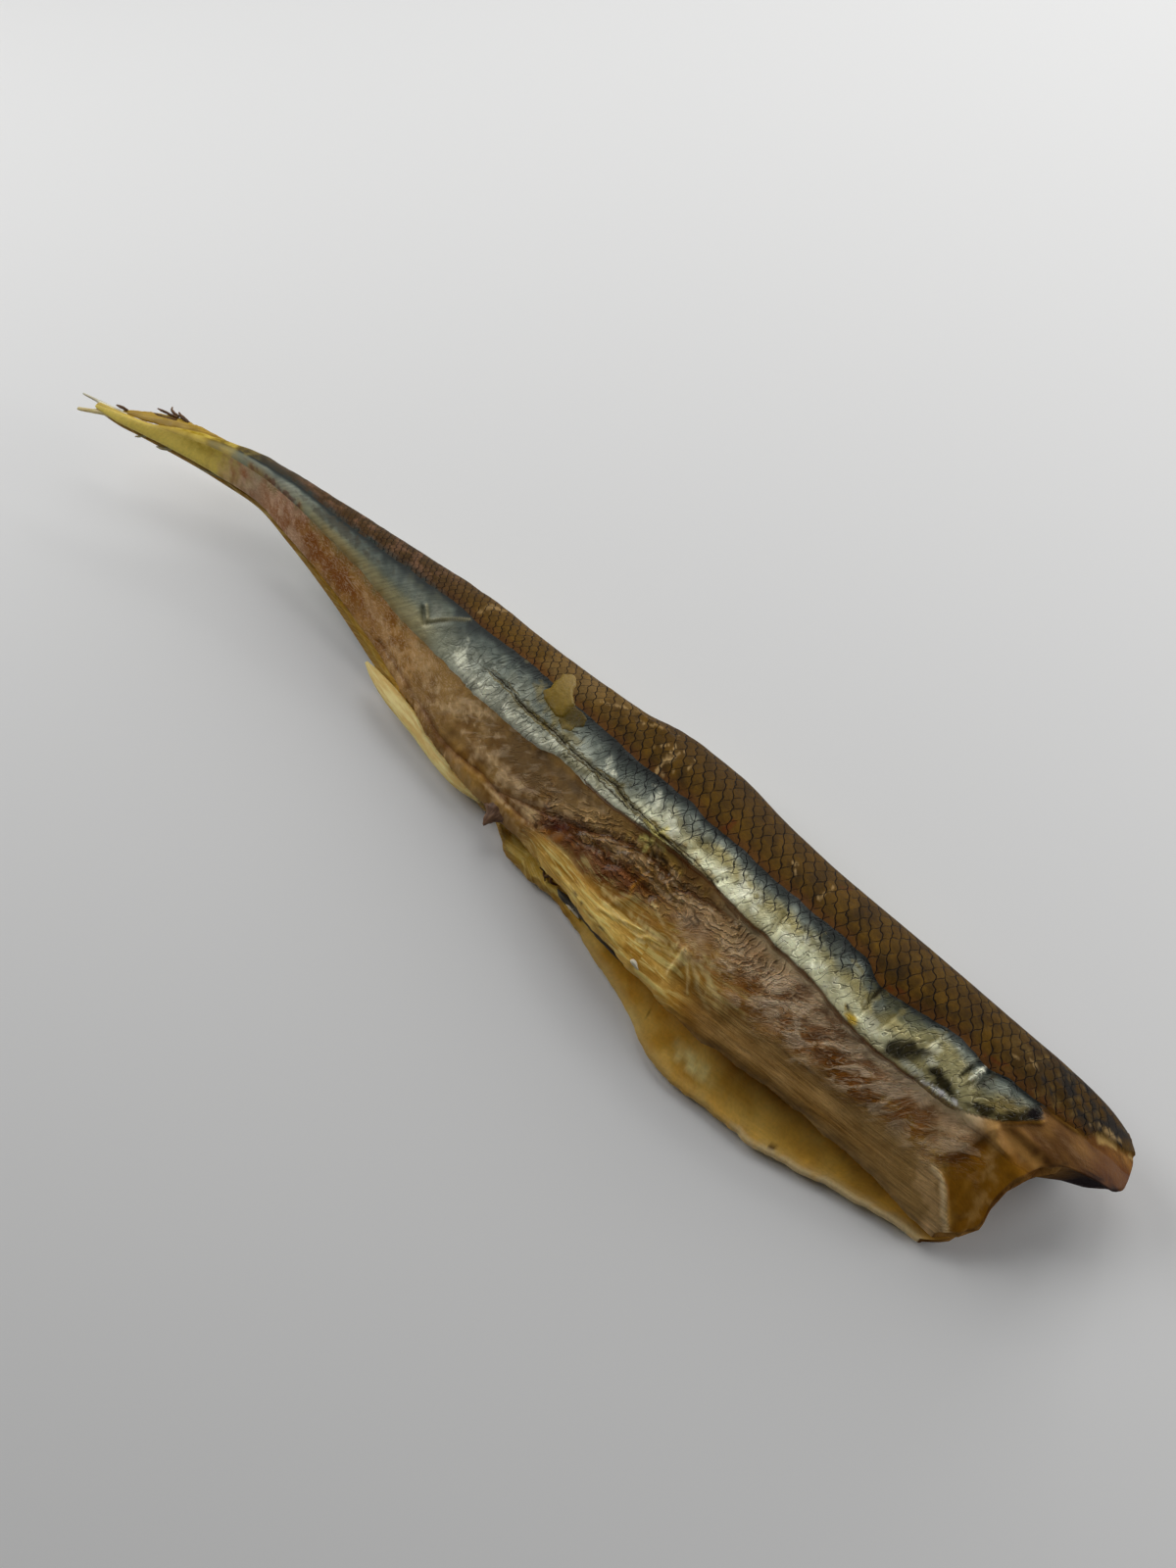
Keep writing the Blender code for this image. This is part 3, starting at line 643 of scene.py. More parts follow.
def band_paint(x, y):
    """The puffed silver band, with its stains, puckers and dark marks along its creases, and painted highlights and
    light on its foil.
    """
    foot, top = band_foot(x), band_top(x)
    across = np.clip((top - y) / (top - foot), 0, 1)
    broad = rumple(x + 0.4 * y, y * 0.7, 3.0, 71, 2)
    small = rumple(x + 0.5 * y, y * 0.6, 1.3, 72, 2)
    # silver over the middle of the body, cream and gold towards the nape, dull green-grey towards the tail
    skin = Coat(x, y, blend((104, 107, 94), (152, 156, 140), 0.45 + 0.35 * broad + 0.3 * small))
    gold = blend((132, 120, 74), (182, 172, 122), 0.45 + 0.4 * broad + 0.25 * small)
    skin.lay(gold, ease((x - 20) / 12) * ease((across + 0.2 * broad - 0.15) / 0.3))
    dull = blend((96, 99, 78), (118, 120, 94), 0.5 + 0.5 * broad)
    skin.lay(dull, 0.95 * ease((-13 - x + 3 * broad) / 8))
    skin.lay((88, 92, 80), 0.75 * ease((-1 - x) / 6) * ease((0.72 - across) / 0.3))
    # the band's lower half is cream, whitened further as painted light where it faces away from the lamps
    skin.lay((255, 244, 182), 0.95 * ease((across - 0.46) / 0.3) * between(x, 14, 66, 10, 8) * (0.8 + 0.4 * broad))
    skin.lay((118, 114, 84), 0.55 * ease((x - 64) / 6) * ease((across - 0.2) / 0.3))
    skin.lay((132, 132, 116), 0.6 * between(x, -62, -44, 8, 8))
    skin.lay(
        (210, 208, 180),
        (0.62 * ease((x + 12) / 8) + 0.2 * ease((x + 40) / 10)) * ease((across - 0.6) / 0.3)
        * (0.75 + 0.4 * broad) * ease((30 - x) / 12),
    )
    skin.lay((150, 136, 92), 0.6 * ease((across - 0.5) / 0.3) * between(x, -48, -16, 8, 6))
    skin.dab((104, 98, 66), 0.85, (11.2, -1.1), 11.0, 1.6, -5, 0.4)
    skin.dab((90, 90, 64), 0.6, (62.5, -3.1), 9.0, 2.4, 0, 0.5)
    # the slate edge under the back
    skin.lay((84, 94, 88), 0.85 * slate_edge(x, y, 1.2))
    skin.lay((18, 22, 21), 0.9 * slate_edge(x, y, 0.75))
    skin.dab((88, 86, 56), 0.55, (61, -2.9), 12, 2.2, 0, 0.5)
    skin.dab((86, 88, 72), 0.6, (-18, 5.0), 15, 3.4, -18, 0.4)
    skin.lay((30, 34, 32), 0.85 * ease(1 - (top - y) / 0.6))
    # yellow stain along the crease, and darker patches in it
    skin.lay(
        (122, 108, 56),
        0.5 * ease(0.5 + rumple(x, y, 0.8, 75, 2)) * near_line(x, y, CREASE, 1.0, 0.6) * ease((x + 6) / 8),
    )
    skin.lay(
        (92, 80, 36),
        0.8 * patch(x, y, (3.4, 1.0), 2.4, 0.8, -10, 0.7) + 0.7 * patch(x, y, (17.6, -0.2), 1.8, 1.2, 60, 0.7)
        + 0.6 * patch(x, y, (-0.2, 1.9), 1.6, 0.7, 10, 0.7),
    )
    # a golden film from the scrap stuck over it
    skin.dab((124, 110, 62), 0.6, (3.6, 3.4), 9.0, 2.6, -20, 0.9)
    # darker along the crease
    skin.lay((90, 76, 34), 0.5 * near_line(x, y, CREASE, 0.6, 0.12) * between(x, -6, 33, 6, 3))
    skin.lay(
        (146, 118, 50),
        0.7 * ease(0.6 + rumple(x, y, 0.9, 77, 2))
        * near_line(x, y, ((24, -2.4), (27, -2.2), (30, -2.4), (34, -3.3)), 1.2, 0.6),
    )
    for middle, length, width, tilt in (
        ((43.4, -3.2), 4.2, 1.3, 96), ((57.0, -7.0), 3.4, 1.3, -22), ((54, -1.6), 3, 0.6, 160),
        ((57.4, -4.0), 5.0, 1.4, 80), ((60.6, -3.6), 4, 0.6, 70), ((30.4, -1.2), 4.4, 1.0, 55),
        ((65.6, -3.0), 3.0, 0.4, 70), ((38.4, -3.4), 2.0, 0.4, 60), ((48, -2), 3, 0.4, 60),
    ):
        skin.dab((116, 104, 56), 0.6, middle, length, width, tilt, 0.6)
    # painted highlights: pale glints on the foil's puckers and crests
    for middle, length, width, tilt, much in (
        ((15.5, 0.6), 1.0, 0.8, 0, 0.9), ((14.2, 1.2), 2.4, 0.7, 120, 0.5), ((7.0, -0.4), 2.6, 0.9, 160, 0.8),
        ((2.8, -0.8), 3.6, 0.9, 165, 0.8), ((-1.8, -0.3), 2.6, 0.8, 155, 0.8),
        ((22.5, 0.8), 3.6, 1.4, 120, 0.6), ((25.5, -0.6), 4.4, 1.6, 130, 0.6),
        ((38.0, -2.4), 3.6, 2.2, 100, 0.7), ((34.4, -1.8), 3.0, 0.6, 55, 0.6),
        ((40.2, -3.0), 3.0, 1.2, 95, 0.6), ((47.2, -3.0), 3.4, 1.6, 30, 0.6), ((50.2, -4.6), 2.4, 1.0, 40, 0.5),
        ((45.4, -4.2), 2.2, 1.0, 110, 0.5), ((66.0, -4.0), 2.8, 1.6, 60, 0.5),
        ((71.3, -3.7), 3.4, 0.8, 78, 0.9), ((52.6, -5.4), 3.0, 1.0, 60, 0.4),
        ((65.0, -7.4), 3.6, 1.0, 170, 0.7), ((-11, 1.4), 4.6, 1.2, 160, 0.5), ((59, -6.0), 3.6, 1.4, 150, 0.4),
        ((70.0, -7.7), 4.6, 0.5, -4, 0.9), ((66.8, -5.6), 1.6, 1.4, 60, 0.6), ((-7.6, 0.6), 3.0, 0.9, 160, 0.5),
    ):
        skin.dab((226, 222, 194), much, middle, length, width, tilt, 0.7)
    skin.dab((122, 104, 54), 0.75, (75.6, -4.6), 6.4, 2.6, 30, 0.4)
    stain = blend((50, 42, 18), (36, 32, 16), 0.5 + small)
    for middle, length, width, tilt in (
        ((63.7, -6.1), 6.6, 2.9, 32), ((69.0, -6.7), 5.4, 1.4, -13), ((67.4, -6.2), 2.2, 1.4, 40),
        ((74.2, -6.3), 4.0, 1.4, 14), ((75.9, -5.7), 3.6, 1.4, 24), ((77.3, -4.8), 3.6, 1.4, 36),
        ((79.0, -3.0), 3.0, 2.2, 40), ((55.7, -6.3), 1.0, 0.7, -30), ((35.2, -2.6), 2.0, 0.3, 60),
        ((48.6, -4.2), 1.4, 0.3, 20), ((77.6, -4.4), 2.2, 1.0, 34), ((46.5, -1.6), 1.4, 0.4, 110),
        ((70.3, -3.6), 3.4, 0.4, 76), ((72.6, -3.6), 3.4, 0.4, 78), ((57.6, -2.4), 2.4, 0.5, 80),
    ):
        skin.dab(stain, 0.96, middle, length, width, tilt, 0.3)
    for k, stripe in enumerate((66.4, 67.5, 68.9, 70.2, 72.4, 73.2)):
        skin.dab((84, 84, 68), 0.6, (stripe, -3.2 - 0.2 * (k % 2)), 3.0, 0.35, 80, 0.5)
    skin.dab((22, 14, 18), 0.95, (78.9, -3.1), 2.4, 1.7, 36, 0.3)
    # a painted highlight: a bright white glint just above the band's foot
    skin.dab((255, 250, 224), 1, (69.6, -7.6), 4.6, 0.6, 2, 0.7)
    skin.dab((188, 152, 26), 0.85, (56.8, -6.9), 2.4, 1.2, -24, 0.6)
    skin.lay((62, 58, 38), 0.35 * near_line(x + 0.3, y + 0.5, SCRATCH, 0.4))
    skin.lay((140, 132, 98), 0.6 * near_line(x, y - 0.1, SCRATCH, 0.35))
    # a painted highlight: a whitish triangle of light on the foil beside the dark marks
    skin.dab((206, 206, 180), 0.6, (-12.1, 2.2), 4.8, 1.6, -59, 0.5)
    for line in (((-8.4, -0.4), (-7.9, 2.0), (-7.3, 4.4)), ((-11.1, 4.2), (-8.5, 3.1))):
        skin.line((58, 62, 50), 0.6, line, 0.36, 0.2)
    skin.lay((160, 130, 66), 0.4 * ease(1 - (y - foot) / 0.9) * ease((x - 24) / 15) * (0.4 + small))
    # the band's brown lower edge, deepened with painted shade where the band steps down to the flank
    skin.lay((110, 76, 30), 0.6 * ease(1 - (y - foot) / 0.3) * ease((x - 10) / 15))
    skin.lay((128, 108, 66), 0.7 * ease(1 - (y - foot) / 1.2) * ease((-14 - x) / 10) * (0.8 + small))
    skin.dab((84, 44, 34), 0.7, (-52, 6.9), 10, 0.9, -3, 0.8)
    skin.dab((60, 52, 36), 0.6, (-40, 7.4), 14, 1.2, -4, 0.9)
    knotted(skin)
    skin.lay(tail_yellow(x, small), ease((-58.5 - x + 2 * small) / 10))
    return skin.paint


def flank_paint(x, y):
    """The bare flank from the band's foot to the belly edge, and the flesh at the nape."""
    foot, edge = band_foot(x), right_edge(x)
    broad, small = rumple(x, y, 4.5, 81, 3), rumple(x, y, 1.2, 82, 3)
    skin = Coat(x, y, blend((116, 84, 44), (152, 118, 68), 0.5 + 0.7 * broad + 0.4 * small))
    # towards the tail it is orange-tan with a pale net, and pinkish at the stump
    tailward = ease((-12 - x) / 14)
    skin.lay(blend((132, 86, 34), (160, 114, 58), 0.5 + 0.9 * small), tailward * 0.9)
    net = ease((rumple(x, y * 1.2, 1.2, 85, 3) + 0.1) / 0.4)
    skin.lay((196, 152, 96), 0.5 * net * between(x, -36, -12, 14, 8))
    skin.lay((150, 104, 76), 0.8 * ease((-42 - x) / 8))
    skin.lay((182, 146, 122), 0.55 * net * ease((-40 - x) / 8))
    skin.dab((124, 72, 28), 0.85, (-38, 2.9), 20, 2.6, -11, 0.5)
    skin.lay((122, 106, 66), 0.6 * ease(1 - (foot - y) / 1.3) * ease((-14 - x) / 10) * (0.5 + small))
    # taupe skin under the silver
    skin.dab((116, 92, 60), 0.8, (5, -3.8), 26, 4.0, -8, 0.4)
    skin.dab((86, 70, 50), 0.6, (11, -2.9), 18, 1.4, -8, 0.4)
    for middle, length, width, tilt, much in (
        ((-8.6, -2.5), 5.4, 1.3, 18, 0.7), ((-5.0, -2.0), 4.4, 0.9, 15, 0.7),
        ((-11.4, -3.7), 3.8, 0.6, 10, 0.5), ((-3.4, -3.3), 4.4, 0.5, 5, 0.5), ((-8.4, -3.5), 6.5, 0.5, -4, 0.4),
        ((-4.6, -5.3), 2.8, 0.5, -14, 0.5), ((0.4, -5.8), 7.0, 2.0, -8, 0.55), ((4.6, -6.8), 6.0, 1.8, -8, 0.6),
        ((-2.0, -8.3), 9.5, 0.9, -8, 0.6), ((8.6, -8.6), 5.4, 1.5, 6, 0.7), ((16.8, -4.2), 4.0, 1.8, -6, 0.45),
        ((6, -10.0), 5.0, 0.5, -8, 0.5), ((13, -6.2), 7.0, 0.9, 10, 0.5), ((24.5, -4.0), 3.4, 0.5, 20, 0.6),
        ((21, -5.0), 5.0, 0.6, 22, 0.5), ((-17, -0.8), 9, 1.2, -22, 0.45), ((71.4, -9.0), 7.6, 1.8, -28, 0.5),
        ((73.6, -11.8), 4.0, 1.4, -50, 0.4), ((68.2, -7.9), 3.4, 0.8, -10, 0.5), ((-27, 1.0), 9, 0.8, -18, 0.4),
        ((20, -6.4), 9.0, 1.3, 4, 0.4), ((34, -6.8), 6.0, 1.6, -10, 0.4), ((38.0, -6.8), 6.0, 1.8, -14, 0.4),
    ):
        wisp = 0.35 + 0.65 * streaked(x, y, 0.5, tilt, 89, 4.0)
        skin.lay((212, 180, 134), 1.2 * much * wisp * patch(x, y, middle, length * 1.1, width * 1.4, tilt, 0.8))
    skin.dab(blend((118, 80, 20), (160, 118, 48), 0.5 + 0.9 * small), 0.8, (0, -8.3), 22, 2.2, -9, 0.3)
    skin.lay(
        (216, 184, 132),
        0.6 * patch(x, y, (8.2, -8.5), 5.0, 1.2, 6, 0.5) + 0.5 * patch(x, y, (3.4, -8.9), 6.0, 0.5, -8, 0.5),
    )
    skin.dab((190, 160, 118), 0.5, (3.4, -8.4), 5.5, 1.6, -20, 0.7)
    # red-brown, translucent and folded behind the vent
    skin.dab((86, 46, 8), 0.9, (20, -8.5), 22, 3.8, -4, 0.5)
    skin.dab((128, 84, 54), 0.45, (22, -8.8), 12, 1.6, -4, 0.8)
    # painted shade: dark brown along the sunk hollows and folds
    for line, width, much in (
        (HOLLOW, 0.8, 0.8), (SECOND_HOLLOW, 0.8, 0.8), (LONG_FOLD, 0.5, 0.5), (VENT_FOLD, 0.6, 0.5),
        (SIDE_FOLD, 0.5, 0.5),
    ):
        skin.line((90, 50, 8), much, line, width, 0.25)
    skin.lay(
        (150, 120, 48),
        0.6 * ease(0.5 + small) * near_line(x, y, ((22, -4.0), (25, -3.6), (29, -3.9), (34, -4.6)), 0.8, 0.5),
    )
    # dark folds with painted shade in them, and a painted highlight on the lip just below each
    for middle, length, width, tilt in (
        ((24.2, -5.0), 4.4, 1.0, 12), ((34.8, -5.5), 8.0, 0.8, 10), ((27.4, -4.4), 4.0, 0.35, -52),
        ((28.8, -4.9), 5.0, 0.35, -32), ((30.4, -4.3), 4.0, 0.3, -18), ((26.2, -4.2), 3.4, 0.3, -80),
        ((31.4, -5.4), 5.0, 0.35, -24), ((20.6, -7.0), 5.0, 0.3, 4), ((29.6, -6.6), 6.0, 0.3, -8),
    ):
        skin.dab((78, 54, 12), 0.8, middle, length, width, tilt, 0.5)
        skin.dab((206, 178, 140), 0.5, (middle[0] - 0.3, middle[1] - 0.5 - width / 2), 0.8 * length, 0.3, tilt, 0.8)
    skin.dab((66, 24, 4), 0.9, (12.6, -7.7), 5.0, 2.4, 10, 0.6)
    skin.dab((136, 82, 22), 0.7, (13.2, -8.9), 4.0, 1.2, 8, 0.8)
    # amber towards the edge, with pale fibres that gather in a star
    amber = between(x, 12, 50, 6, 10) * ease((-9.4 - y + 0.08 * (x - 30)) / 1.2)
    skin.lay(blend((124, 84, 22), (160, 116, 44), 0.5 + 0.8 * rumple(x * 0.4, y, 1.2, 84, 3)), 0.95 * amber)
    gold = ease((along(x, FIN_TOP) + 0.3 - y) / 0.8) * between(x, 9, 41, 5, 7)
    skin.lay(
        blend(
            (170, 124, 44),
            (206, 168, 86),
            0.3 + 0.5 * ease((x - 11) / 9) + 0.8 * rumple(x * 0.2, y, 0.9, 99, 2),
        ),
        0.9 * gold,
    )
    skin.lay(
        (140, 98, 26),
        0.7 * patch(x, y, (33.5, -15.4), 9.0, 1.8, -8, 0.5)
        + 0.6 * patch(x, y, (38.5, -14.2), 4.0, 2.2, -20, 0.5),
    )
    skin.line(
        (150, 102, 34), 0.7, ((27.2, -6.4), (26.2, -8.5), (26.8, -10.2), (25.4, -11.6), (23.8, -12.2)), 0.45,
        0.2,
    )
    for middle, length, width, tilt, much in (
        ((36.5, -12.4), 3.4, 1.3, 84, 0.8), ((33.2, -11.9), 6.4, 0.5, 8, 0.6),
        ((40.2, -11.0), 7.4, 0.6, 3, 0.7), ((39.4, -12.0), 5.6, 0.5, -20, 0.6),
        ((33.4, -12.9), 5.4, 0.5, 12, 0.5), ((42.6, -13.3), 5.6, 0.45, -24, 0.5),
        ((29.6, -11.6), 6.0, 0.45, -4, 0.5), ((45.4, -11.7), 6.4, 0.5, 3, 0.5),
        ((28.0, -12.8), 8.0, 0.5, -8, 0.5), ((44.2, -14.6), 6.0, 0.4, -14, 0.4),
        ((24.6, -11.2), 3.4, 0.6, -10, 0.5), ((39.9, -9.2), 1.6, 0.5, 90, 0.5),
    ):
        skin.lay((226, 192, 126), 1.2 * much * patch(x, y, middle, length, width, tilt, 0.6))
    for angle, reach in ((-20, 9), (-34, 8), (-50, 5), (-95, 3.4), (168, 7)):
        skin.line((230, 196, 136), 0.6, ray((36.3, -11.0), angle, reach), 0.3, 0.4)
    # glossy brown wrinkles over the ribs, and fibres below them
    lumpy = patch(x, y, (57, -10.0), 46, 8.4, -3, 0.3)
    skin.lay(blend((124, 78, 22), (186, 156, 120), 0.25 + 0.4 * small + 0.75 * ease((y + 11.2) / 3.0)), 0.9 * lumpy)
    skin.lay(
        (146, 92, 28),
        0.6 * patch(x, y, (54.8, -11.6), 3.6, 1.4, 30, 0.8)
        + 0.6 * patch(x, y, (68.5, -11.0), 8.0, 1.8, -12, 0.9) + 0.4 * patch(x, y, (44, -12), 8.0, 1.2, 6, 0.9),
    )
    skin.dab((190, 160, 124), 0.45, (49.6, -10.8), 9, 2.6, -20, 0.8)
    fibrous = ease((x - 38) / 8) * ease((-12.2 - y + 0.03 * (x - 50)) / 2.0) * ease((79.5 - x) / 2)
    skin.lay(
        blend(
            (106, 78, 38),
            (142, 112, 68),
            0.5 + 0.5 * ease((x - 60) / 10) + 0.7 * rumple(x * 0.3, y, 1.5, 83, 3),
        ),
        0.9 * fibrous,
    )
    skin.lay(
        (184, 150, 104),
        0.6 * patch(x, y, (74.6, -15.6), 8.0, 3.0, -48, 0.6)
        + 0.5 * patch(x, y, (77.0, -18.0), 3.0, 1.8, -70, 0.6),
    )
    # painted light under the band's foot, lifting the shade that the band's step throws on the flank
    skin.lay((210, 178, 140), 0.75 * ease(1 - (foot - y) / 3.0) * between(x, 38, 79, 8, 4) * (0.6 + 0.5 * small))
    skin.lay((240, 200, 156), 0.55 * ease(1 - (foot - y) / 0.9) * between(x, 34, 76, 6, 4))
    skin.dab((92, 64, 22), 0.5, (41, -15.0), 12, 2.4, -8, 0.5)
    # the amber shoulder behind the flap's end, and the flesh at the nape
    shoulder = Coat(x, y, blend((134, 90, 22), (166, 122, 52), 0.45 + 0.9 * broad + 0.4 * small))
    for middle, length, width, tilt in (
        ((77.0, -8.6), 9, 1.6, -50), ((82, -6.8), 10, 1.6, -6), ((79.4, -13.5), 6, 1.2, -80),
        ((75.6, -7.2), 5, 1.2, -30),
    ):
        shoulder.dab((180, 142, 84), 0.4, middle, length, width, tilt, 0.9)
    skin.lay(shoulder.paint, np.maximum(shoulder_side(x, y), ease((x - 73.5) / 3.5) * ease((y + 12.5) / 3)))
    flesh = Coat(x, y, blend((90, 58, 20), (130, 92, 44), 0.45 + 0.8 * rumple(0.35 * x, y + 0.15 * x, 1.0, 88, 3)))
    flesh.lay(
        (132, 100, 66),
        0.5 * patch(x, y, (84.0, -3.6), 5.0, 0.7, -10, 0.5)
        + 0.4 * patch(x, y, (81.5, -4.8), 4.0, 0.5, -14, 0.5),
    )
    flesh.lay((78, 40, 14), 0.7 * ease((x - 84) / 4) * ease((0.5 - y) / 2))
    skin.lay(flesh.paint, bare_flesh(x, y))
    skin.lay(
        (160, 120, 34),
        0.7 * ease(0.6 + small)
        * near_line(x, y, ((63.5, -12.0), (67.0, -11.4), (70.0, -12.3), (74.0, -12.9)), 0.9, 0.5),
    )
    # painted light over the shade at the sunk edge of the bare flesh
    skin.dab((170, 124, 62), 0.6, (79.5, -6.9), 8.0, 2.0, -4, 0.4)
    skin.line((96, 56, 16), 0.6, ((73.4, -13.0), (74.6, -12.2), (75.4, -10.6), (76.2, -8.8)), 0.7, 0.4)
    skin.lay((216, 188, 140), 0.9 * near_line(x + 0.3, y, FLAP_RIM, 0.45, 0.15))
    skin.dab((170, 140, 84), 0.6, (86.8, 0.2), 4.0, 1.4, 14, 1.2)
    skin.dab((26, 12, 14), 0.95, (87.4, -5.5), 7.4, 3.2, 24, 0.5)
    skin.lay((196, 164, 128), 0.5 * net * ease((-44 - x) / 6) * ease(1 - (y - edge) / 1.6))
    skin.lay((178, 144, 98), 0.5 * ease(1 - (y - edge) / 2.4) * between(x, -30, -10, 6, 6) * (0.6 + small))
    skin.lay((196, 158, 84), 0.75 * ease((edge - 0.2 - y) / 0.8) * between(x, 8, 38, 3, 4))
    skin.lay(
        (64, 48, 32),
        0.85 * ease(1 - np.abs(y - edge - 0.15) / 0.35) * between(x, 16, 30, 2, 2) * ease(0.3 + 1.2 * small),
    )
    skin.lay((176, 160, 136), 0.4 * ease((-52 - x) / 5) * (0.6 + 0.8 * small))
    knotted(skin)
    stump = over(tail_yellow(x, small), albedo(214, 190, 92), 0.9 * ease(1 - (y - edge) / 1.8))
    skin.lay(stump, ease((-57 - x + 2 * small) / 9))
    return skin.paint


def lining_paint(x, y):
    """Inside the belly: translucent amber, with painted light through the thin rim and painted shade under the upper
    flap's edge.
    """
    broad, small = rumple(x, y, 5.0, 91, 3), rumple(x * 0.5, y, 1.2, 92, 3)
    skin = Coat(x, y, blend((184, 138, 52), (226, 184, 96), 0.45 + 0.7 * broad + 0.3 * small))
    skin.lay((140, 94, 28), 0.8 * ease((x - 60) / 14))
    skin.lay((160, 120, 48), 0.6 * ease((x - 44) / 8))
    # painted light: paler along the lower flap's thin rim, as light shining through it
    skin.lay((166, 142, 92), 0.6 * ease(1 - (y - left_edge(x)) / 1.2))
    skin.lay((224, 196, 148), 0.7 * ease(1 - (y - left_edge(x)) / 0.6) * ease((x - 50) / 6))
    # painted shade: darker amber just under the upper flap's edge
    skin.lay(
        (176, 120, 30),
        0.35 * patch(x, y, (41, -18.6), 13, 2.6, -26, 0.5)
        + 0.5 * patch(x, y, (33.5, -17.4), 5.0, 1.4, -40, 0.4),
    )
    skin.lay((200, 152, 60), 0.5 * ease(rumple(x * 0.7, y, 1.4, 94, 3)) * ease((x - 30) / 6))
    skin.dab((150, 104, 34), 0.6, (44.6, -20.3), 7.4, 3.4, -12, 0.4)
    skin.dab((244, 206, 136), 0.9, (44.8, -20.1), 5.6, 2.0, -8, 0.35)
    skin.dab((180, 146, 72), 0.6, (52, -21.2), 14, 2.4, -4, 0.5)
    for middle, size in (((58.0, -22.2), 1.0), ((36.5, -18.6), 0.7)):
        skin.dab((60, 36, 14), 0.85, middle, size, 0.6 * size, 30, 0.5)
    striped = ease((26 - x) / 6)
    skin.lay((188, 150, 58), 0.95 * striped)
    skin.lay((228, 196, 116), 0.8 * striped * streaked(x, y, 0.6, -14, 93, 8.0))
    skin.lay((120, 84, 34), 0.7 * striped * ease(1 - (y - left_edge(x)) / 0.3))
    return skin.paint


body_grid, body_side, body_ended = body_points()
gx, gy, gz = body_grid[..., 0], body_grid[..., 1], body_grid[..., 2]
above_band = gy - band_top(gx)
step_round = np.linalg.norm(np.diff(body_grid, axis=1), axis=2)
arc = np.concatenate([np.zeros((len(body_grid), 1)), np.cumsum(step_round, 1)], 1)

# Scales: their rows close up towards the tail and the nape, and run on round the back
SCALE_PITCH = (
    (-86, 0.6), (-60, 0.65), (-30, 0.9), (-10, 1.25), (10, 1.5), (30, 1.7), (55, 1.7), (70, 1.55), (80, 1.3),
    (91, 1.05),
)
stations = np.linspace(-92, 92, 2000)
pitches = along(stations, SCALE_PITCH)
counted = np.concatenate([[0], np.cumsum(0.5 * (1 / pitches[1:] + 1 / pitches[:-1]) * np.diff(stations))])
scale_number = np.interp(gx, stations, counted)
band_arc = arc[:, HIDE_COLUMNS : HIDE_COLUMNS + 1]
scale_row = (band_arc - arc + np.where(body_side == 0, 0, arc[:, -1:])) / (1.9 * along(gx, SCALE_PITCH))

# Which part of the skin each column of faces belongs to: back, band, flank, lining or the side underneath
part_of = np.where(body_side == 0, 2, np.where(body_side == 5, 4, 3))
part_of[body_side == 1] = 2
part_of[: HIDE_COLUMNS] = 0
part_of[HIDE_COLUMNS : HIDE_COLUMNS + BAND_COLUMNS] = 1
part_of[np.nonzero(body_side == 4)[0]] = 3
back, band, flank, lining = (paint(gx, gy) for paint in (back_paint, band_paint, flank_paint, lining_paint))
raw = bare_flesh(gx, gy)
banded = ease((gy - along(gx, BAND_END)) / 0.25) * ease((81 - gx) / 2) + ease((60 - gx) / 2)
silvered = ease((9.2 - gz + 0.8 * rumple(gx, gz, 2.2, 97)) / 2.6) * ease((gz - 1.6) / 2.0) * ease((66 - gx) / 8)
silvered = silvered * (0.8 + 0.3 * rumple(gx, gz, 1.2, 98))
under = Coat(gx, gy, 0.8 * back)
under.lay((122, 121, 98), silvered)
under.lay((140, 106, 52), ease((2.2 - gz) / 1.4))
under.lay((44, 26, 20), ease((gx - 62) / 8) * ease((3 - gy) / 3))
# painted light on the shaded lip: the underside by the lower flap's edge takes the lining's paler amber
under.lay(lining, ease(2.5 - (gy - left_edge(gx))) * ease((gx - 18) / 6))
paints = (over(back, flank, raw), over(over(flank, band, banded), flank, raw), flank, lining, under.paint)
cut = Coat(gx, gy, blend((90, 58, 22), (132, 96, 48), 0.5 + rumple(gy, gz, 1.5, 95)))
cut.lay((30, 16, 18), ease((gx - 84) / 2) * between(gy, -9, -2.5, 1.5, 1.5))


def together(*values):
    """The values of each point, side by side."""
    return np.stack(np.broadcast_arrays(*values), -1)


# How each part feels. Back, band and underside: scaled, silvery, nothing, creased. Flank and lining: lumpy over
# the ribs, crinkled behind the vent, scratched, threaded along the edge
scaled = ease((gx + 58) / 30)
feels = (
    together(scaled * ease((89 - gx) / 4) * (1 - raw), 0, 0, 0),
    together(
        ease((above_band + 4.2) / 1.6) * between(gx, 6, 60, 16, 6),
        ease((gx + 58) / 40) * np.clip(banded, 0, 1) * (1 - raw) * (1 - 0.9 * slate_edge(gx, gy)),
        0,
        ease((gx + 30) / 30) * np.clip(banded, 0, 1),
    ),
    together(
        patch(gx, gy, (56, -10.0), 42, 8, -3, 0.2),
        np.maximum(patch(gx, gy, (24, -6.4), 34, 6.5, -2, 0.3), 0.8 * patch(gx, gy, (41, -7.4), 18, 4.6, -8, 0.3)),
        patch(gx, gy, (4, -4.5), 34, 7.5, -8, 0.3),
        ease((-12 - gy) / 1.5) * ease((gx - 36) / 6) * (1 - shoulder_side(gx, gy)),
    ),
    together(0, 0, 0, 0.15 + 0.5 * ease((26 - gx) / 6)),
    together(scaled * ease((gz - 7) / 2), 0, 0, 0),
)


def fibre_row(x, y):
    """Counts the rows of fibres across the pelvic fin and the belly edge, which run along it and spread with it."""
    return 4.5 * (along(x, FIN_TOP) - y) / np.maximum(along(x, FIN_TOP) - along(x, FIN_FOOT), 1.2)


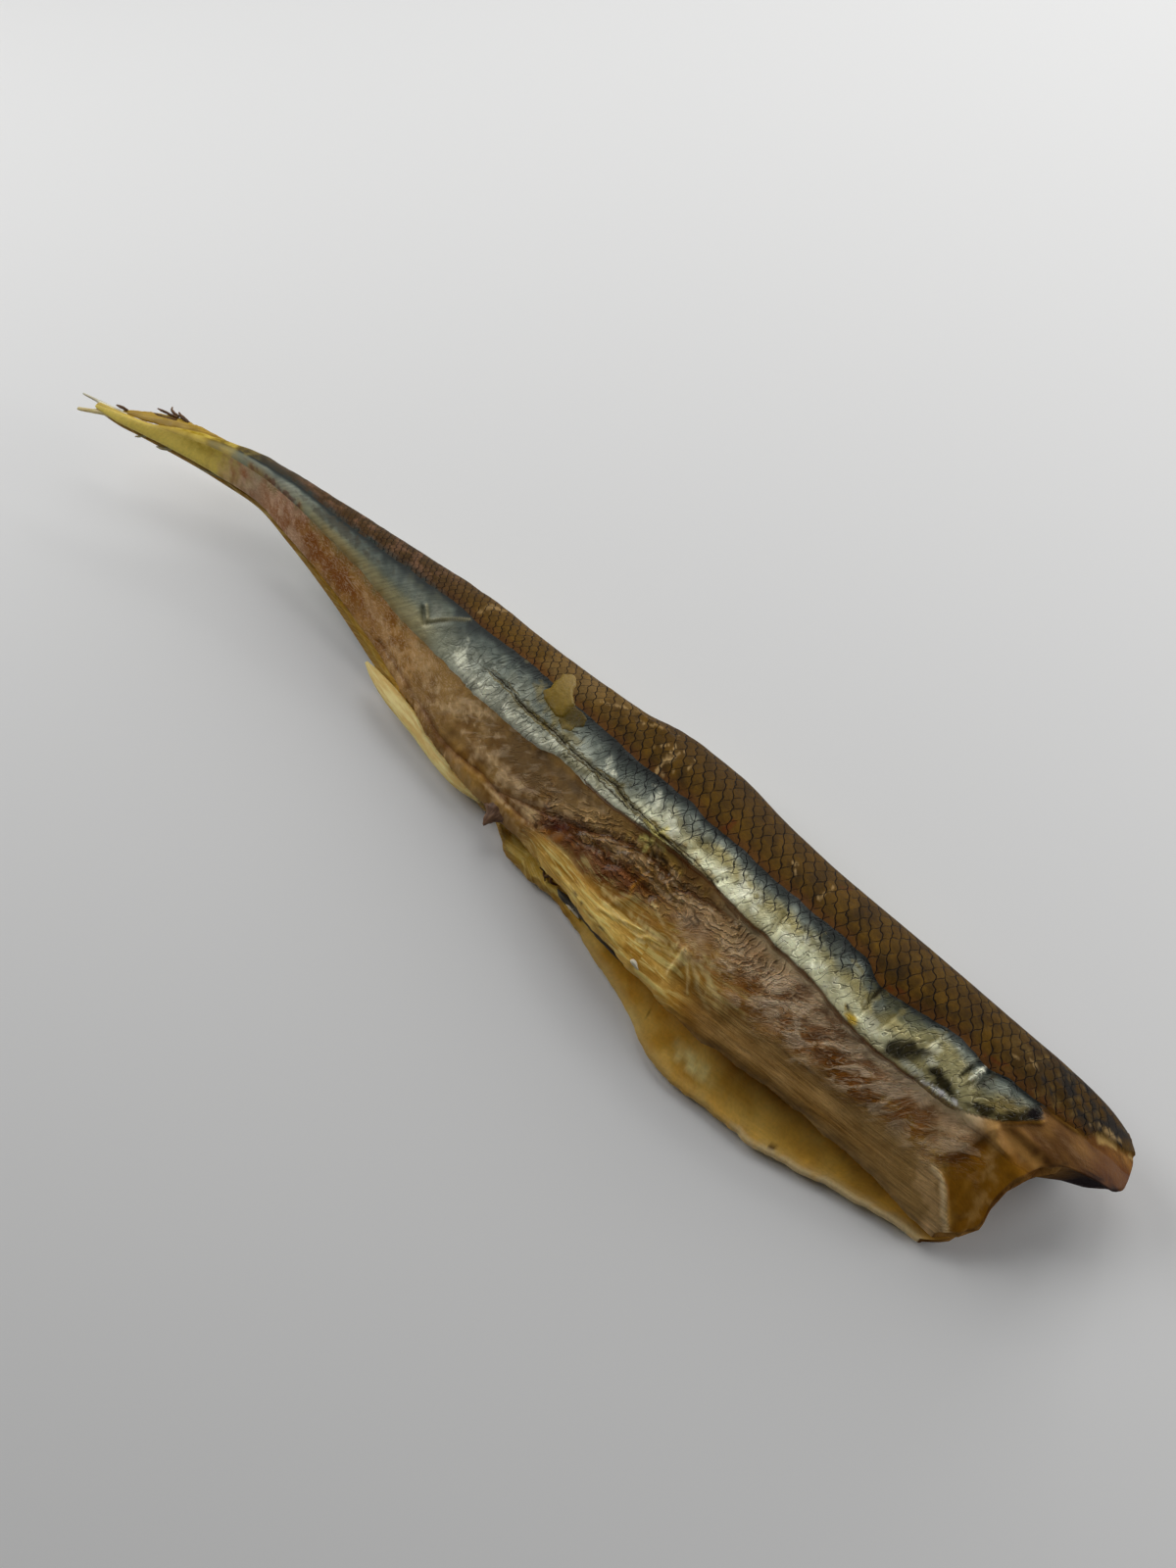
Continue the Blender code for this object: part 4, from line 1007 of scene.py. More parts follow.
# How far each point lies from the creases and folds, for the thin lines along them
folds = np.stack([beside(gx, gy, line) for line in (VENT_FOLD, SIDE_FOLD, LONG_FOLD, HOLLOW, SECOND_HOLLOW)])
nearest_fold = np.take_along_axis(folds, np.abs(folds).argmin(0)[None], 0)[0]
from_foot = (
    np.where(gy > band_foot(gx), 1, -1)
    * (np.abs(gy - band_foot(gx)) + 2 * ease((14 - gx) / 4) + 2 * ease((gx - 66) / 1.5))
)
swirled = between(gx, -62, -6, 10, 10)
golden = np.maximum(
    ease((along(gx, FIN_TOP) + 0.3 - gy) / 0.7) * between(gx, 8, 42, 4, 7),
    0.6 * patch(gx, gy, (28, -10.6), 24, 3.0, -4, 0.3),
)
golden = np.maximum(golden, 0.4 * patch(gx, gy, (42, -12.2), 14, 4.4, -6, 0.3))
hatched = between(gx, -60, -13, 10, 6)
nears = {
    1: together(beside(gx, gy, CREASE), beside(gx, gy, SECOND_CREASE), from_foot, hatched),
    2: together(nearest_fold, fibre_row(gx, gy), from_foot, swirled - golden),
    3: together(9, fibre_row(gx, gy), 9, -0.5 * ease((26 - gx) / 8)),
}
corner_paint = np.zeros(gx.shape + (2, 4))
corner_feel, corner_near = np.zeros(gx.shape + (2, 4)), np.zeros(gx.shape + (2, 4))
for i, part in enumerate(part_of[:-1]):
    for corner in (0, 1):
        ink = over(
            paints[part][:, i + corner],
            cut.paint[:, i + corner],
            body_ended * ease((gx[:, i + corner] - 40) / 10),
        )
        corner_paint[:, i, corner] = np.concatenate([ink, np.ones((len(ink), 1))], 1)
        corner_feel[:, i, corner] = feels[part][:, i + corner]
        corner_near[:, i, corner] = nears.get(part, nears[2])[:, i + corner]
raw_end = (body_ended[:, None] * (gx > 40) > 0) | (gx > 79) & (part_of == 4) & (gy < 2.5)
body = skinned(
    "body",
    [body_grid],
    maps={"hide": [np.stack([gx, arc], 2)], "scales": [np.stack([scale_number, scale_row], 2)]},
    paints={"paint": [corner_paint], "feel": [corner_feel], "near": [corner_near]},
    finish_of=[np.where(raw_end, 3, np.array([0, 1, 2, 2, 0])[part_of])],
)


class Wire:
    """A value that changes over a surface. Arithmetic on it adds Math nodes to its finish."""

    def __init__(self, finish, socket):
        self.finish, self.socket = finish, socket

    def math(self, operation, *others):
        sockets = dict(enumerate((self, *others)))
        return self.finish.node("Math", {"operation": operation}, sockets)

    def __add__(self, other):
        return self.math("ADD", other)

    def __sub__(self, other):
        return self.math("SUBTRACT", other)

    def __mul__(self, other):
        return self.math("MULTIPLY", other)

    def __rsub__(self, other):
        return self.finish.node("Math", {"operation": "SUBTRACT"}, {0: other, 1: self})

    __radd__, __rmul__ = __add__, __mul__

    def held(self):
        return self.finish.node("Clamp", {}, {"Value": self})

    def step(self, low, high):
        """0 at low and 1 at high, smoothly."""
        settings = {"interpolation_type": "SMOOTHSTEP"}
        return self.finish.node("MapRange", settings, {"Value": self, "From Min": low, "From Max": high})


class Finish:
    """A material. node() adds a node: its settings first, then the values or links of its sockets."""

    def __init__(self, name):
        self.material = bpy.data.materials.new(name)
        self.material.use_nodes = True
        self.tree = self.material.node_tree
        self.shader = self.tree.nodes["Principled BSDF"]

    def node(self, kind, settings=None, sockets=None, out=0):
        made = self.tree.nodes.new("ShaderNode" + kind)
        for key, value in (settings or {}).items():
            setattr(made, key, value)
        for key, value in (sockets or {}).items():
            self.put(made.inputs[key], value)
        return Wire(self, made.outputs[out])

    def put(self, socket, value):
        if isinstance(value, Wire):
            self.tree.links.new(value.socket, socket)
        elif socket.type == "RGBA":
            socket.default_value = (*value, 1)
        else:
            socket.default_value = value

    def set(self, **sockets):
        for key, value in sockets.items():
            self.put(self.shader.inputs[key.replace("_", " ")], value)

    def noise(self, vector, scale, detail=3.0, roughness=0.5, distortion=0.0):
        sockets = {"Vector": vector, "Scale": scale, "Detail": detail, "Roughness": roughness}
        return self.node("TexNoise", {}, {**sockets, "Distortion": distortion})

    def hide(self):
        """The skin's own map, in millimetres."""
        return self.node("UVMap", {"uv_map": "hide"})

    def grain(self, *shape):
        """Noise that lies on the skin."""
        return self.noise(self.hide(), *shape)

    def strokes(self, turn, length, width, *shape):
        """Noise whose marks have this length along the turn and this width across it."""
        sockets = {"Vector": self.hide(), "Scale": (length, width, 1), "Rotation": (0, 0, math.radians(turn))}
        return self.noise(self.node("Mapping", {"vector_type": "TEXTURE"}, sockets), 1.0, *shape)

    def lines(self, turn, length, width, thin, distortion):
        """Thin wandering lines along the turn: 1 on a line, 0 between lines."""
        value = self.strokes(turn, length, width, 1.0, 0.55, distortion)
        return 1 - (value - 0.5).math("ABSOLUTE").step(0.0, thin)

    def mix(self, amount, first, second):
        return self.node("Mix", {"data_type": "RGBA"}, {0: amount, 6: first, 7: second}, out=2)

    def bump(self, height):
        """Bumps from a height in millimetres."""
        return self.node("Bump", {}, {"Height": height, "Distance": MM, "Strength": 1.0})


def scale_net(f, scaled):
    """The outlines of the scales, how far a point lies into its scale, and a shade for each scale."""
    wobble = f.grain(0.6, 3) - 0.5
    net = f.node("UVMap", {"uv_map": "scales"})
    number = f.node("SeparateXYZ", {}, {"Vector": net}, out=0) + wobble * 0.35
    row = f.node("SeparateXYZ", {}, {"Vector": net}, out=1) + wobble * 0.3
    rising, falling = number - row, number + row
    in_first = (falling + (rising * math.tau).math("SINE") * 0.08).math("FRACT")
    in_second = (rising + (falling * math.tau).math("SINE") * 0.04).math("FRACT")
    first_line = 1 - in_first.step(0.02, 0.12) + in_first.step(0.95, 0.99)
    second_line = 1 - in_second.step(0.01, 0.09) + in_second.step(0.96, 0.99)
    broken, faded = f.grain(0.8, 2).step(0.35, 0.55), f.grain(1.6, 2).step(0.25, 0.5)
    outline = (first_line.held() * (faded * 0.4 + 0.6) + second_line.held() * broken * 0.8).held() * scaled
    cell = f.node("CombineXYZ", {}, {0: falling.math("FLOOR"), 1: rising.math("FLOOR")})
    return outline, in_first, f.node("TexWhiteNoise", {"noise_dimensions": "2D"}, {"Vector": cell})


def channels(f, name):
    """The four values that the skin carries under this name: feel says how each part feels, and near how far it
    lies from the creases."""
    three = f.node("Attribute", {"attribute_name": name}, out=1)
    fourth = f.node("Attribute", {"attribute_name": name}, out=3)
    return [f.node("SeparateXYZ", {}, {"Vector": three}, out=k) for k in range(3)] + [fourth]


def on_line(away, half, soft):
    """1 within half a width of a line, 0 beyond the soft edge outside it."""
    return 1 - away.math("ABSOLUTE").step(half, half + soft)


def toned(f, light):
    """The painted colour, made lighter or darker."""
    paint = f.node("Attribute", {"attribute_name": "paint"})
    return f.node("VectorMath", {"operation": "SCALE"}, {0: paint, "Scale": light})


def moist(f, specular, subsurface=0.05):
    """Sets how the oily, slightly see-through skin takes the light, and hands over its material."""
    f.set(Coat_Roughness=0.2, Specular_IOR_Level=specular)
    f.set(Subsurface_Weight=subsurface, Subsurface_Scale=0.002, Subsurface_Radius=(1.0, 0.5, 0.2))
    return f.material


def back_finish():
    """Dull, dry skin with the outlines of its scales."""
    f = Finish("scaled_back")
    scaled = channels(f, "feel")[0]
    outline, inside, each = scale_net(f, scaled)
    fine, grain = f.grain(2.4, 4, 0.6), f.grain(7.0, 3, 0.6)
    # each gives every scale its own tone; inside adds painted shade across each scale, from darker at one outline to
    # lighter at the next
    light = 1 + (fine - 0.5) * 0.9 + ((each - 0.5) * 0.3 + (inside - 0.5) * 0.2) * scaled
    colour = f.mix(outline * 0.95, toned(f, light), albedo(9, 6, 3))
    height = inside * scaled * 0.05 - outline * 0.08 + fine * 0.05 + grain * 0.015
    f.set(Base_Color=colour, Roughness=(0.6 + (fine - 0.5) * 0.3).held(), Normal=f.bump(height))
    return moist(f, 0.08)


def band_finish():
    """Skin with a silvery sheen, hairline creases and black specks."""
    f = Finish("silver_band")
    scaled, silver, _, creased = channels(f, "feel")
    outline, inside, _ = scale_net(f, scaled)
    fine, grain = f.grain(2.4, 4, 0.6), f.grain(6.0, 3, 0.6)
    puffs = f.strokes(-64, 3.0, 1.5, 2, 0.5, 0.6)
    wrinkles = f.lines(-66, 3.2, 1.3, 0.03, 0.5) * creased
    hairlines = f.lines(-50, 2.4, 0.9, 0.02, 0.4) * creased
    specks = f.node("TexVoronoi", {}, {"Vector": f.hide(), "Scale": 1.9})
    speck = (1 - specks.step(0.08, 0.16)) * f.grain(0.4, 2).step(0.44, 0.54) * creased
    crease, second, foot, brushed = channels(f, "near")
    strokes = f.strokes(-38, 3.0, 0.35, 2, 0.5, 0.3)
    wander, gaps = (f.grain(0.9, 3, 0.6) - 0.5), f.grain(0.5, 2)
    # dark, broken lines along the two creases
    crease_lines = (
        on_line(crease + wander * 0.5, 0.03, 0.09) * gaps.step(0.32, 0.42)
        + on_line(second + wander * 0.8, 0.03, 0.08) * gaps.step(0.4, 0.5) * 0.9
    )
    olive = (
        on_line(crease + 0.34 + wander * 1.1, 0.05, 0.1)
        + on_line(crease - 0.3 - wander, 0.03, 0.1) * gaps.step(0.55, 0.45)
    )
    # painted shade: the band's foot darkened to brown in the groove where it steps down to the flank
    seam = on_line(foot, 0.06, 0.12)
    # the puffs made lighter and darker, and the wrinkles and hairlines darker, as painted light and shade on the
    # crumpled foil; the specks are dark marks
    light = (
        1 + (fine - 0.5) * 0.35 + (puffs - 0.5) * creased * 0.4 - speck * 0.75 - wrinkles * 0.42
        - hairlines * 0.2 + (strokes - 0.5) * brushed * 1.0
    )
    colour = f.mix((outline * 1.15).held(), toned(f, light), albedo(12, 15, 13))
    colour = f.mix(olive.held() * 0.7, colour, albedo(104, 88, 36))
    colour = f.mix(crease_lines.held() * 0.9, colour, albedo(54, 42, 12))
    colour = f.mix(seam * 0.75, colour, albedo(100, 60, 20))
    height = inside * scaled * 0.03 - outline * 0.06 + fine * 0.04 + grain * 0.008
    height = (
        height + (puffs * 0.25 - wrinkles * 0.08 - hairlines * 0.04) * creased
        - (crease_lines + olive * 0.6).held() * 0.12 - seam * 0.15
    )
    f.set(
        Base_Color=colour,
        Metallic=silver * 0.15,
        Roughness=(0.66 + (fine - 0.5) * 0.3 - silver * 0.3).held(),
        Normal=f.bump(height),
    )
    return moist(f, 0.3)


def flank_finish():
    """Oily skin: lumps and ribs, crinkles along the folds, scratches, and fibres along the edge, with painted
    highlights on crests, ribs and crinkles and painted shade in valleys, grooves, cracks and folds.
    """
    f = Finish("bare_flank")
    lumpy, crinkled, scratched, threaded = channels(f, "feel")
    fine, grain = f.grain(2.2, 4, 0.6), f.grain(6.0, 3, 0.6)
    fold, fibre, foot, swirled = channels(f, "near")
    golden, swirled = (0 - swirled).held(), swirled.held()
    lengthways = f.node("SeparateXYZ", {}, {"Vector": f.hide()}, out=0)
    fibres = f.noise(f.node("CombineXYZ", {}, {0: lengthways * 0.2, 1: fibre * 1.3}), 1.0, 3, 0.6, 0.8)
    hairs = f.noise(f.node("CombineXYZ", {}, {0: lengthways * 0.16, 1: fibre * 4.0}), 1.0, 2, 0.6, 0.3)
    wander = f.grain(0.55, 3, 0.55) - 0.5
    lumps = f.strokes(-33, 3.6, 1.5, 2.0, 0.5, 0.7)
    # the lumps' valleys take painted shade and their crests painted highlights
    valley_shade = (1 - lumps.step(0.41, 0.5)) * lumpy
    crest_highlights = lumps.step(0.51, 0.59) * lumpy
    # pale ribs are painted highlights and dark grooves painted shade, over the bumps they make
    ribs = f.lines(-36, 2.2, 0.5, 0.05, 0.8) * lumpy
    grooves = f.lines(-22, 2.6, 0.6, 0.04, 0.9) * lumpy
    streaks = f.strokes(-30, 2.4, 0.5, 3, 0.6, 0.9)
    # wrinkles run along the folds behind the vent; their crinkles are painted paler as highlights and their cracks
    # darker as shade
    phase = (fold * 1.3 + wander * 3.0).math("FRACT")
    crinkles = (1 - (phase - 0.62).math("ABSOLUTE").step(0.02, 0.18)) * crinkled
    cracks = (1 - (phase - 0.25).math("ABSOLUTE").step(0.02, 0.18)) * crinkled * f.grain(0.7, 2).step(0.38, 0.52)
    swirls = f.lines(20, 1.7, 0.8, 0.06, 2.2) * swirled
    scratches = f.lines(-40, 4.0, 0.8, 0.025, 0.3) * scratched
    flakes = f.strokes(-30, 3.0, 1.0, 3, 0.6, 0.5).step(0.5, 0.66) * scratched
    # painted shade: dark lines in the sunk folds and in the groove under the band's foot
    seam = (
        on_line(fold + wander * 0.5, 0.06, 0.12) * (1 - lumpy) * (crinkled * 0.5 + 0.4)
        + on_line(foot, 0.06, 0.14)
    ).held()
    # darker: the scratches, with painted shade in the cracks and grooves; paler: the flakes and swirls, with painted
    # highlights on the crests and ribs; the streaks add painted highlight and shade over the lumps and crinkles
    dark = (cracks * 0.8 + scratches * 0.35 + grooves * 0.45).held()
    pale = (crest_highlights * 0.65 + ribs * 0.5 + flakes * 0.3 + swirls * 0.45).held()
    light = 1 + (fine - 0.5) * 0.5 + (streaks - 0.5) * (lumpy * 1.8 + crinkled * 0.8)
    colour = toned(f, light + (fibres - 0.5) * threaded * 0.8 + (hairs - 0.5) * threaded * 1.1)
    colour = f.mix(golden * (1 - fibres.step(0.34, 0.5)) * 0.35, colour, albedo(132, 86, 24))
    colour = f.mix(golden * fibres.step(0.5, 0.62) * 0.5, colour, albedo(238, 206, 132))
    colour = f.mix(valley_shade * 0.65, colour, albedo(118, 70, 26))
    colour = f.mix(dark * 0.8, colour, toned(f, 0.45 + fine * 0.2))
    colour = f.mix((crinkles * 0.8).held(), colour, toned(f, 2.2))
    colour = f.mix(pale * 0.75, colour, albedo(222, 194, 160))
    colour = f.mix(seam * 0.6, colour, albedo(96, 54, 16))
    height = (
        fine * (0.06 - lumpy * 0.03) + grain * 0.006 + (lumps * 0.6 * lumpy + ribs * 0.08 - grooves * 0.1)
        + (crinkles - cracks) * 0.2
    )
    height = height + streaks * (lumpy * 0.3 + crinkled * 0.15)
    height = (
        height + hairs * threaded * 0.06 + fibres * (threaded * 0.12 + golden * 0.22) - scratches * 0.04
        - seam * 0.12
    )
    gloss = (lumpy * 0.7 + crinkled * 0.45 + golden * 0.3 + 0.08).held()
    f.set(
        Base_Color=colour,
        Roughness=(0.54 - gloss * 0.22 + (fine - 0.5) * 0.2).held(),
        Normal=f.bump(height),
        Coat_Weight=gloss * 0.4,
    )
    return moist(f, 0.14, 0.08)


def cut_finish():
    """The raw, dried cut at the nape and the dark side under it."""
    f = Finish("nape_cut")
    fine = f.grain(1.4, 4, 0.6)
    f.set(
        Base_Color=toned(f, 0.7 + fine * 0.6),
        Roughness=0.85,
        Normal=f.bump(fine * 0.25),
        Specular_IOR_Level=0.08,
    )
    return f.material


body.data.materials.append(back_finish())
body.data.materials.append(band_finish())
body.data.materials.append(flank_finish())
body.data.materials.append(cut_finish())
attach(body, "root")
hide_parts("fish")

# ------------------------------------------------------------------------------------------------------------
# The tail: two dried fin rays stick out of the yellow stump, and a torn scrap of the upper lobe has frayed into
# dark threads. They are hardened fin and are one with the skin.
# ------------------------------------------------------------------------------------------------------------
LOWER_TAIL_RAY = (
    (-89.6, -0.5, 11.0, 0.3, 0.2), (-87.5, 0.2, 11.3, 0.38, 0.25), (-85.0, 1.1, 11.8, 0.5, 0.3),
    (-81.0, 2.0, 12.0, 0.6, 0.35),
)
UPPER_TAIL_RAY = (
    (-90.0, 1.5, 12.3, 0.16, 0.15), (-87.5, 1.8, 12.3, 0.25, 0.2), (-85.0, 2.1, 12.3, 0.4, 0.25),
    (-81.0, 2.7, 12.4, 0.5, 0.3),
)
TORN_LOBE = (
    (-82.0, 2.9, 12.5, 0.3, 0.2), (-79.0, 4.0, 12.7, 0.8, 0.3), (-76.5, 5.0, 12.8, 1.1, 0.35),
    (-74.0, 5.9, 12.9, 1.2, 0.4), (-71.0, 6.8, 12.9, 0.9, 0.4), (-68.0, 7.8, 12.7, 0.5, 0.3),
    (-64.5, 8.7, 12.4, 0.1, 0.1),
)
THREADS = (
    ((-78.8, 5.1, 12.6, 0.12, 0.1), (-76.5, 5.5, 13.0, 0.26, 0.2), (-73.6, 6.4, 13.2, 0.2, 0.2)),
    ((-77.9, 6.3, 13.0, 0.1, 0.1), (-76.2, 6.4, 13.2, 0.22, 0.2), (-73.8, 6.8, 13.3, 0.2, 0.2)),
    ((-76.2, 7.8, 13.2, 0.1, 0.1), (-75.6, 7.2, 13.3, 0.2, 0.2), (-73.8, 7.0, 13.3, 0.2, 0.2)),
    ((-77.2, 4.9, 12.6, 0.08, 0.1), (-75.4, 5.0, 12.9, 0.2, 0.2), (-74.0, 5.4, 13.0, 0.3, 0.2)),
    ((-74.6, 7.7, 13.2, 0.1, 0.1), (-73.4, 7.3, 13.3, 0.3, 0.25), (-71.8, 7.2, 13.1, 0.3, 0.2)),
    ((-83.8, 3.0, 12.6, 0.1, 0.1), (-82.8, 3.1, 12.8, 0.3, 0.2), (-81.4, 3.2, 12.9, 0.2, 0.15)),
)
FRINGE = (
    ((-78.2, 1.2, 11.0, 0.1, 0.1), (-77.4, 1.6, 11.2, 0.2, 0.15), (-76.4, 2.1, 11.6, 0.2, 0.2)),
    ((-74.4, 2.0, 10.7, 0.1, 0.1), (-73.2, 2.2, 10.9, 0.3, 0.15), (-71.8, 2.9, 11.2, 0.3, 0.2)),
    ((-67.6, 3.3, 10.3, 0.1, 0.1), (-65.0, 3.7, 10.3, 0.25, 0.15), (-61.6, 4.5, 10.0, 0.2, 0.2)),
)


def strand(line, sides=10, gap=0.35, rough=0.12, seed=7):
    """Rings along a line of x, y, height, half width and half thickness, with a point at each end."""
    line = np.array(line, float)
    chord = np.concatenate([[0], np.cumsum(np.linalg.norm(np.diff(line[:, :3], axis=0), axis=1))])
    count = max(6, int(chord[-1] / gap))
    t = np.linspace(0, chord[-1], count)
    smooth = np.stack([along(t, np.stack([chord, line[:, k]], 1)) for k in range(5)], 1)
    turn = np.linspace(0, math.tau, sides + 1)
    ahead = np.gradient(smooth[:, :3], axis=0)
    across = np.cross([0, 0, 1], ahead)
    across /= np.linalg.norm(across, axis=1, keepdims=True)
    uneven = 1 + rough * rumple(t[:, None] * 1.3, np.cos(turn)[None, :] * 2 + 5, 0.9, seed, 2)
    rings = smooth[:, None, :3] + (np.cos(turn)[None, :] * smooth[:, 3:4] * uneven)[..., None] * across[:, None, :]
    rings[..., 2] += np.sin(turn)[None, :] * smooth[:, 4:5] * uneven
    ends = [np.tile(rings[k].mean(0), (1, sides + 1, 1)) for k in (0, -1)]
    return np.concatenate([ends[0], rings, ends[1]])


def strand_map(rings):
    """Streaks on a strand run along it."""
    length = np.concatenate([[0], np.cumsum(np.linalg.norm(np.diff(rings.mean(1), axis=0), axis=1))])
    return together(length[:, None], np.linspace(0, 3, rings.shape[1])[None, :])


def dried_finish(name, dark, pale, roughness=0.5, stretch=0.15):
    """Hardened fin or gut: two tones in streaks along the piece."""
    f = Finish(name)
    along_it = f.node("Mapping", {}, {"Vector": f.hide(), "Scale": (stretch, 1.6, 1)})
    streaks = f.noise(along_it, 2.2, 4, 0.65, 0.4)
    spots = f.grain(0.9, 3, 0.6)
    colour = f.mix((streaks.step(0.36, 0.64) * 0.75 + spots * 0.4).held(), albedo(*dark), albedo(*pale))
    f.set(Base_Color=colour, Roughness=(roughness + (spots - 0.5) * 0.3).held())
    f.set(Normal=f.bump(streaks * 0.12 + spots * 0.05))
    return moist(f, 0.35, 0.08)


def attached(name, grids, finish, spread=None, paints=None):
    """A piece that has dried onto the fish. spread is its map, if it isn't a strand."""
    piece = skinned(name, grids, {"hide": spread or [strand_map(grid) for grid in grids]}, paints)
    piece.data.materials.append(finish)
    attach(piece, "root")
    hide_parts("fish")


straw = dried_finish("straw_fin", (146, 122, 62), (214, 200, 150))
dark_thread = dried_finish("dark_thread", (42, 28, 14), (96, 66, 30), 0.6)
bleached = dried_finish("bleached_ray", (132, 124, 92), (212, 208, 188))
torn = dried_finish("torn_lobe", (130, 102, 20), (158, 128, 42))
frayed = dried_finish("grey_fringe", (96, 88, 62), (160, 150, 112))
attached("lower_tail_ray", [strand(LOWER_TAIL_RAY)], straw)
attached("upper_tail_ray", [strand(UPPER_TAIL_RAY)], bleached)
attached("torn_tail_lobe", [strand(TORN_LOBE, 12)], torn)
attached("tail_threads", [strand(line, 8, 0.25, 0.3, 40 + k) for k, line in enumerate(THREADS)], dark_thread)
attached("tail_fringe", [strand(line, 8, 0.25, 0.3, 50 + k) for k, line in enumerate(FRINGE)], frayed)

# ------------------------------------------------------------------------------------------------------------
# The anal fin: a straw-coloured blade pressed against the belly edge, pale below and amber where it joins.
# Beside it hang a thorn of dried gut at the vent and a dark spot of dirt.
# ------------------------------------------------------------------------------------------------------------
ANAL_FIN = (
    (-25.9, -3.8, 4.2, 0.25, 0.2), (-23.5, -4.5, 4.1, 0.8, 0.3), (-18.5, -5.8, 3.9, 1.25, 0.45),
    (-12.5, -7.2, 3.5, 1.2, 0.5), (-7.0, -8.7, 3.1, 1.15, 0.6), (-3.0, -9.4, 2.9, 1.05, 0.6),
    (1.0, -9.5, 2.8, 0.6, 0.5),
)
VENT_THORN = (
    (4.0, -12.5, 3.6, 0.15, 0.2), (4.1, -11.7, 3.9, 0.7, 0.4), (4.3, -10.8, 4.2, 1.5, 0.6),
    (4.4, -9.9, 4.6, 1.95, 0.7), (4.4, -9.0, 4.8, 1.2, 0.7),
)
VENT_DIRT = ((-1.3, -9.3, 3.5, 0.1, 0.1), (-0.9, -9.3, 3.6, 0.42, 0.25), (-0.5, -9.3, 3.5, 0.1, 0.1))
amber_fin = dried_finish("anal_fin", (190, 154, 80), (226, 202, 136), 0.5, 0.08)
brown_gut = dried_finish("vent_thorn", (64, 42, 28), (128, 98, 74))
attached("anal_fin", [strand(ANAL_FIN, 20, 0.35, 0.015)], amber_fin)
attached("vent_thorn", [strand(VENT_THORN, 12, 0.2, 0.25, 9)], brown_gut)
attached("vent_dirt", [strand(VENT_DIRT, 8, 0.15)], dark_thread)

# ------------------------------------------------------------------------------------------------------------
# The pelvic fin: a flat sheaf of straw-yellow fibres, about 0.3 mm thick, dried onto the flap's edge. It comes out
# of the skin at its front end, and its colour and fibres run on from the flap's.
# ------------------------------------------------------------------------------------------------------------


def film(x, y, cover, lift, sink, thickness):
    """A thin sheet laid on the skin. It comes out of the skin where cover, from 0 to 1, rises."""
    on_skin = np.maximum(y, right_edge(x) + 0.25)
    top = upper_skin(x, on_skin, right_edge(x)) + relief(x, on_skin) + lift * cover - sink * (1 - cover)
    upper, lower = np.stack([x, y, top], 2), np.stack([x, y, top - thickness], 2)
    sheet = np.concatenate([upper, lower[:, ::-1], upper[:, :1]], 1)
    ends = [np.tile(sheet[k].mean(0), (1, sheet.shape[1], 1)) for k in (0, -1)]
    return np.concatenate([ends[0], sheet, ends[1]])


def film_map(sheet, length, width):
    """Streaks on a film run from end to end and spread with it."""
    rows, columns = sheet.shape[0], sheet.shape[1] // 2
    u, v = np.linspace(0, length, rows)[:, None], np.linspace(0, width, columns)[None, :]
    return together(u, np.concatenate([v, v[:, ::-1], v[:, :1]], 1))


u, v = np.linspace(0, 1, 130)[:, None], np.linspace(-1.15, 1.15, 48)[None, :]
fin_x = 8.2 + 30.0 * u + 0 * v
fin_top, fin_foot = along(fin_x, FIN_TOP), along(fin_x, FIN_FOOT)
fin_y = (fin_top + fin_foot) / 2 - v * (fin_top - fin_foot) / 2
grooved = 0.5 + 0.5 * np.sin(9 * v + 1.5 * np.sin(5 * u)) * np.cos(3 * v - 4 * u)
cover = (
    ease((1.08 - np.abs(v) + 0.1 * rumple(fin_x * 0.4, 4 * v + 0 * u, 1.0, 96)) / 0.3) * ease(u / 0.06)
    * ease((1 - u) / 0.45)
)
fin_sheet = film(fin_x, fin_y, cover * (0.94 + 0.06 * grooved), 0.26, 0.16, 0.3)


def at_corners(*channels):
    """Values given for each point, repeated for the corners of the faces that meet there."""
    values = together(*channels)
    return [np.stack([values[:, :-1], values[:, 1:]], 2)]


sheet_x, sheet_y = fin_sheet[..., 0], fin_sheet[..., 1]
fin_paints = {
    "paint": at_corners(*np.moveaxis(flank_paint(sheet_x, sheet_y), -1, 0), 1),
    "feel": at_corners(0 * sheet_x, 0, 0, 0),
    "near": at_corners(9, fibre_row(sheet_x, sheet_y), 9, -1),
}
attached("pelvic_fin", [fin_sheet], flank_finish(), [film_map(fin_sheet, 31.0, 4.5)], fin_paints)

# ------------------------------------------------------------------------------------------------------------
# Scraps: a golden piece of skin stuck across the band and the back, a curled hair and dark and white bits on the
# belly's edge. They have dried on.
# ------------------------------------------------------------------------------------------------------------
SCRAP = (
    (1.7, 9.4), (0.6, 8.6), (1.0, 7.4), (0.8, 6.6), (1.2, 5.6), (0.7, 4.7), (1.4, 3.8), (2.8, 3.3), (4.2, 2.8),
    (5.2, 3.0), (5.4, 4.2), (5.2, 5.3), (4.0, 6.4), (3.2, 8.0), (2.5, 9.0),
)
SCRAP_CORNER = (
    (4.8, 5.1), (6.6, 5.1), (7.9, 4.7), (8.3, 3.4), (7.3, 2.8), (7.3, 2.1), (6.2, 1.8), (5.0, 2.5), (4.8, 3.6),
)


def inside(x, y, outline):
    """How deep a point lies inside an outline, or below 0 how far outside."""
    closed = outline + outline[:1]
    crossed = np.zeros(np.shape(x), bool)
    for (x0, y0), (x1, y1) in zip(closed[:-1], closed[1:]):
        crossed ^= ((y0 > y) != (y1 > y)) & (x < x0 + (y - y0) * (x1 - x0) / (y1 - y0 if y1 != y0 else 1))
    return np.where(crossed, 1, -1) * gap_to(x, y, closed)


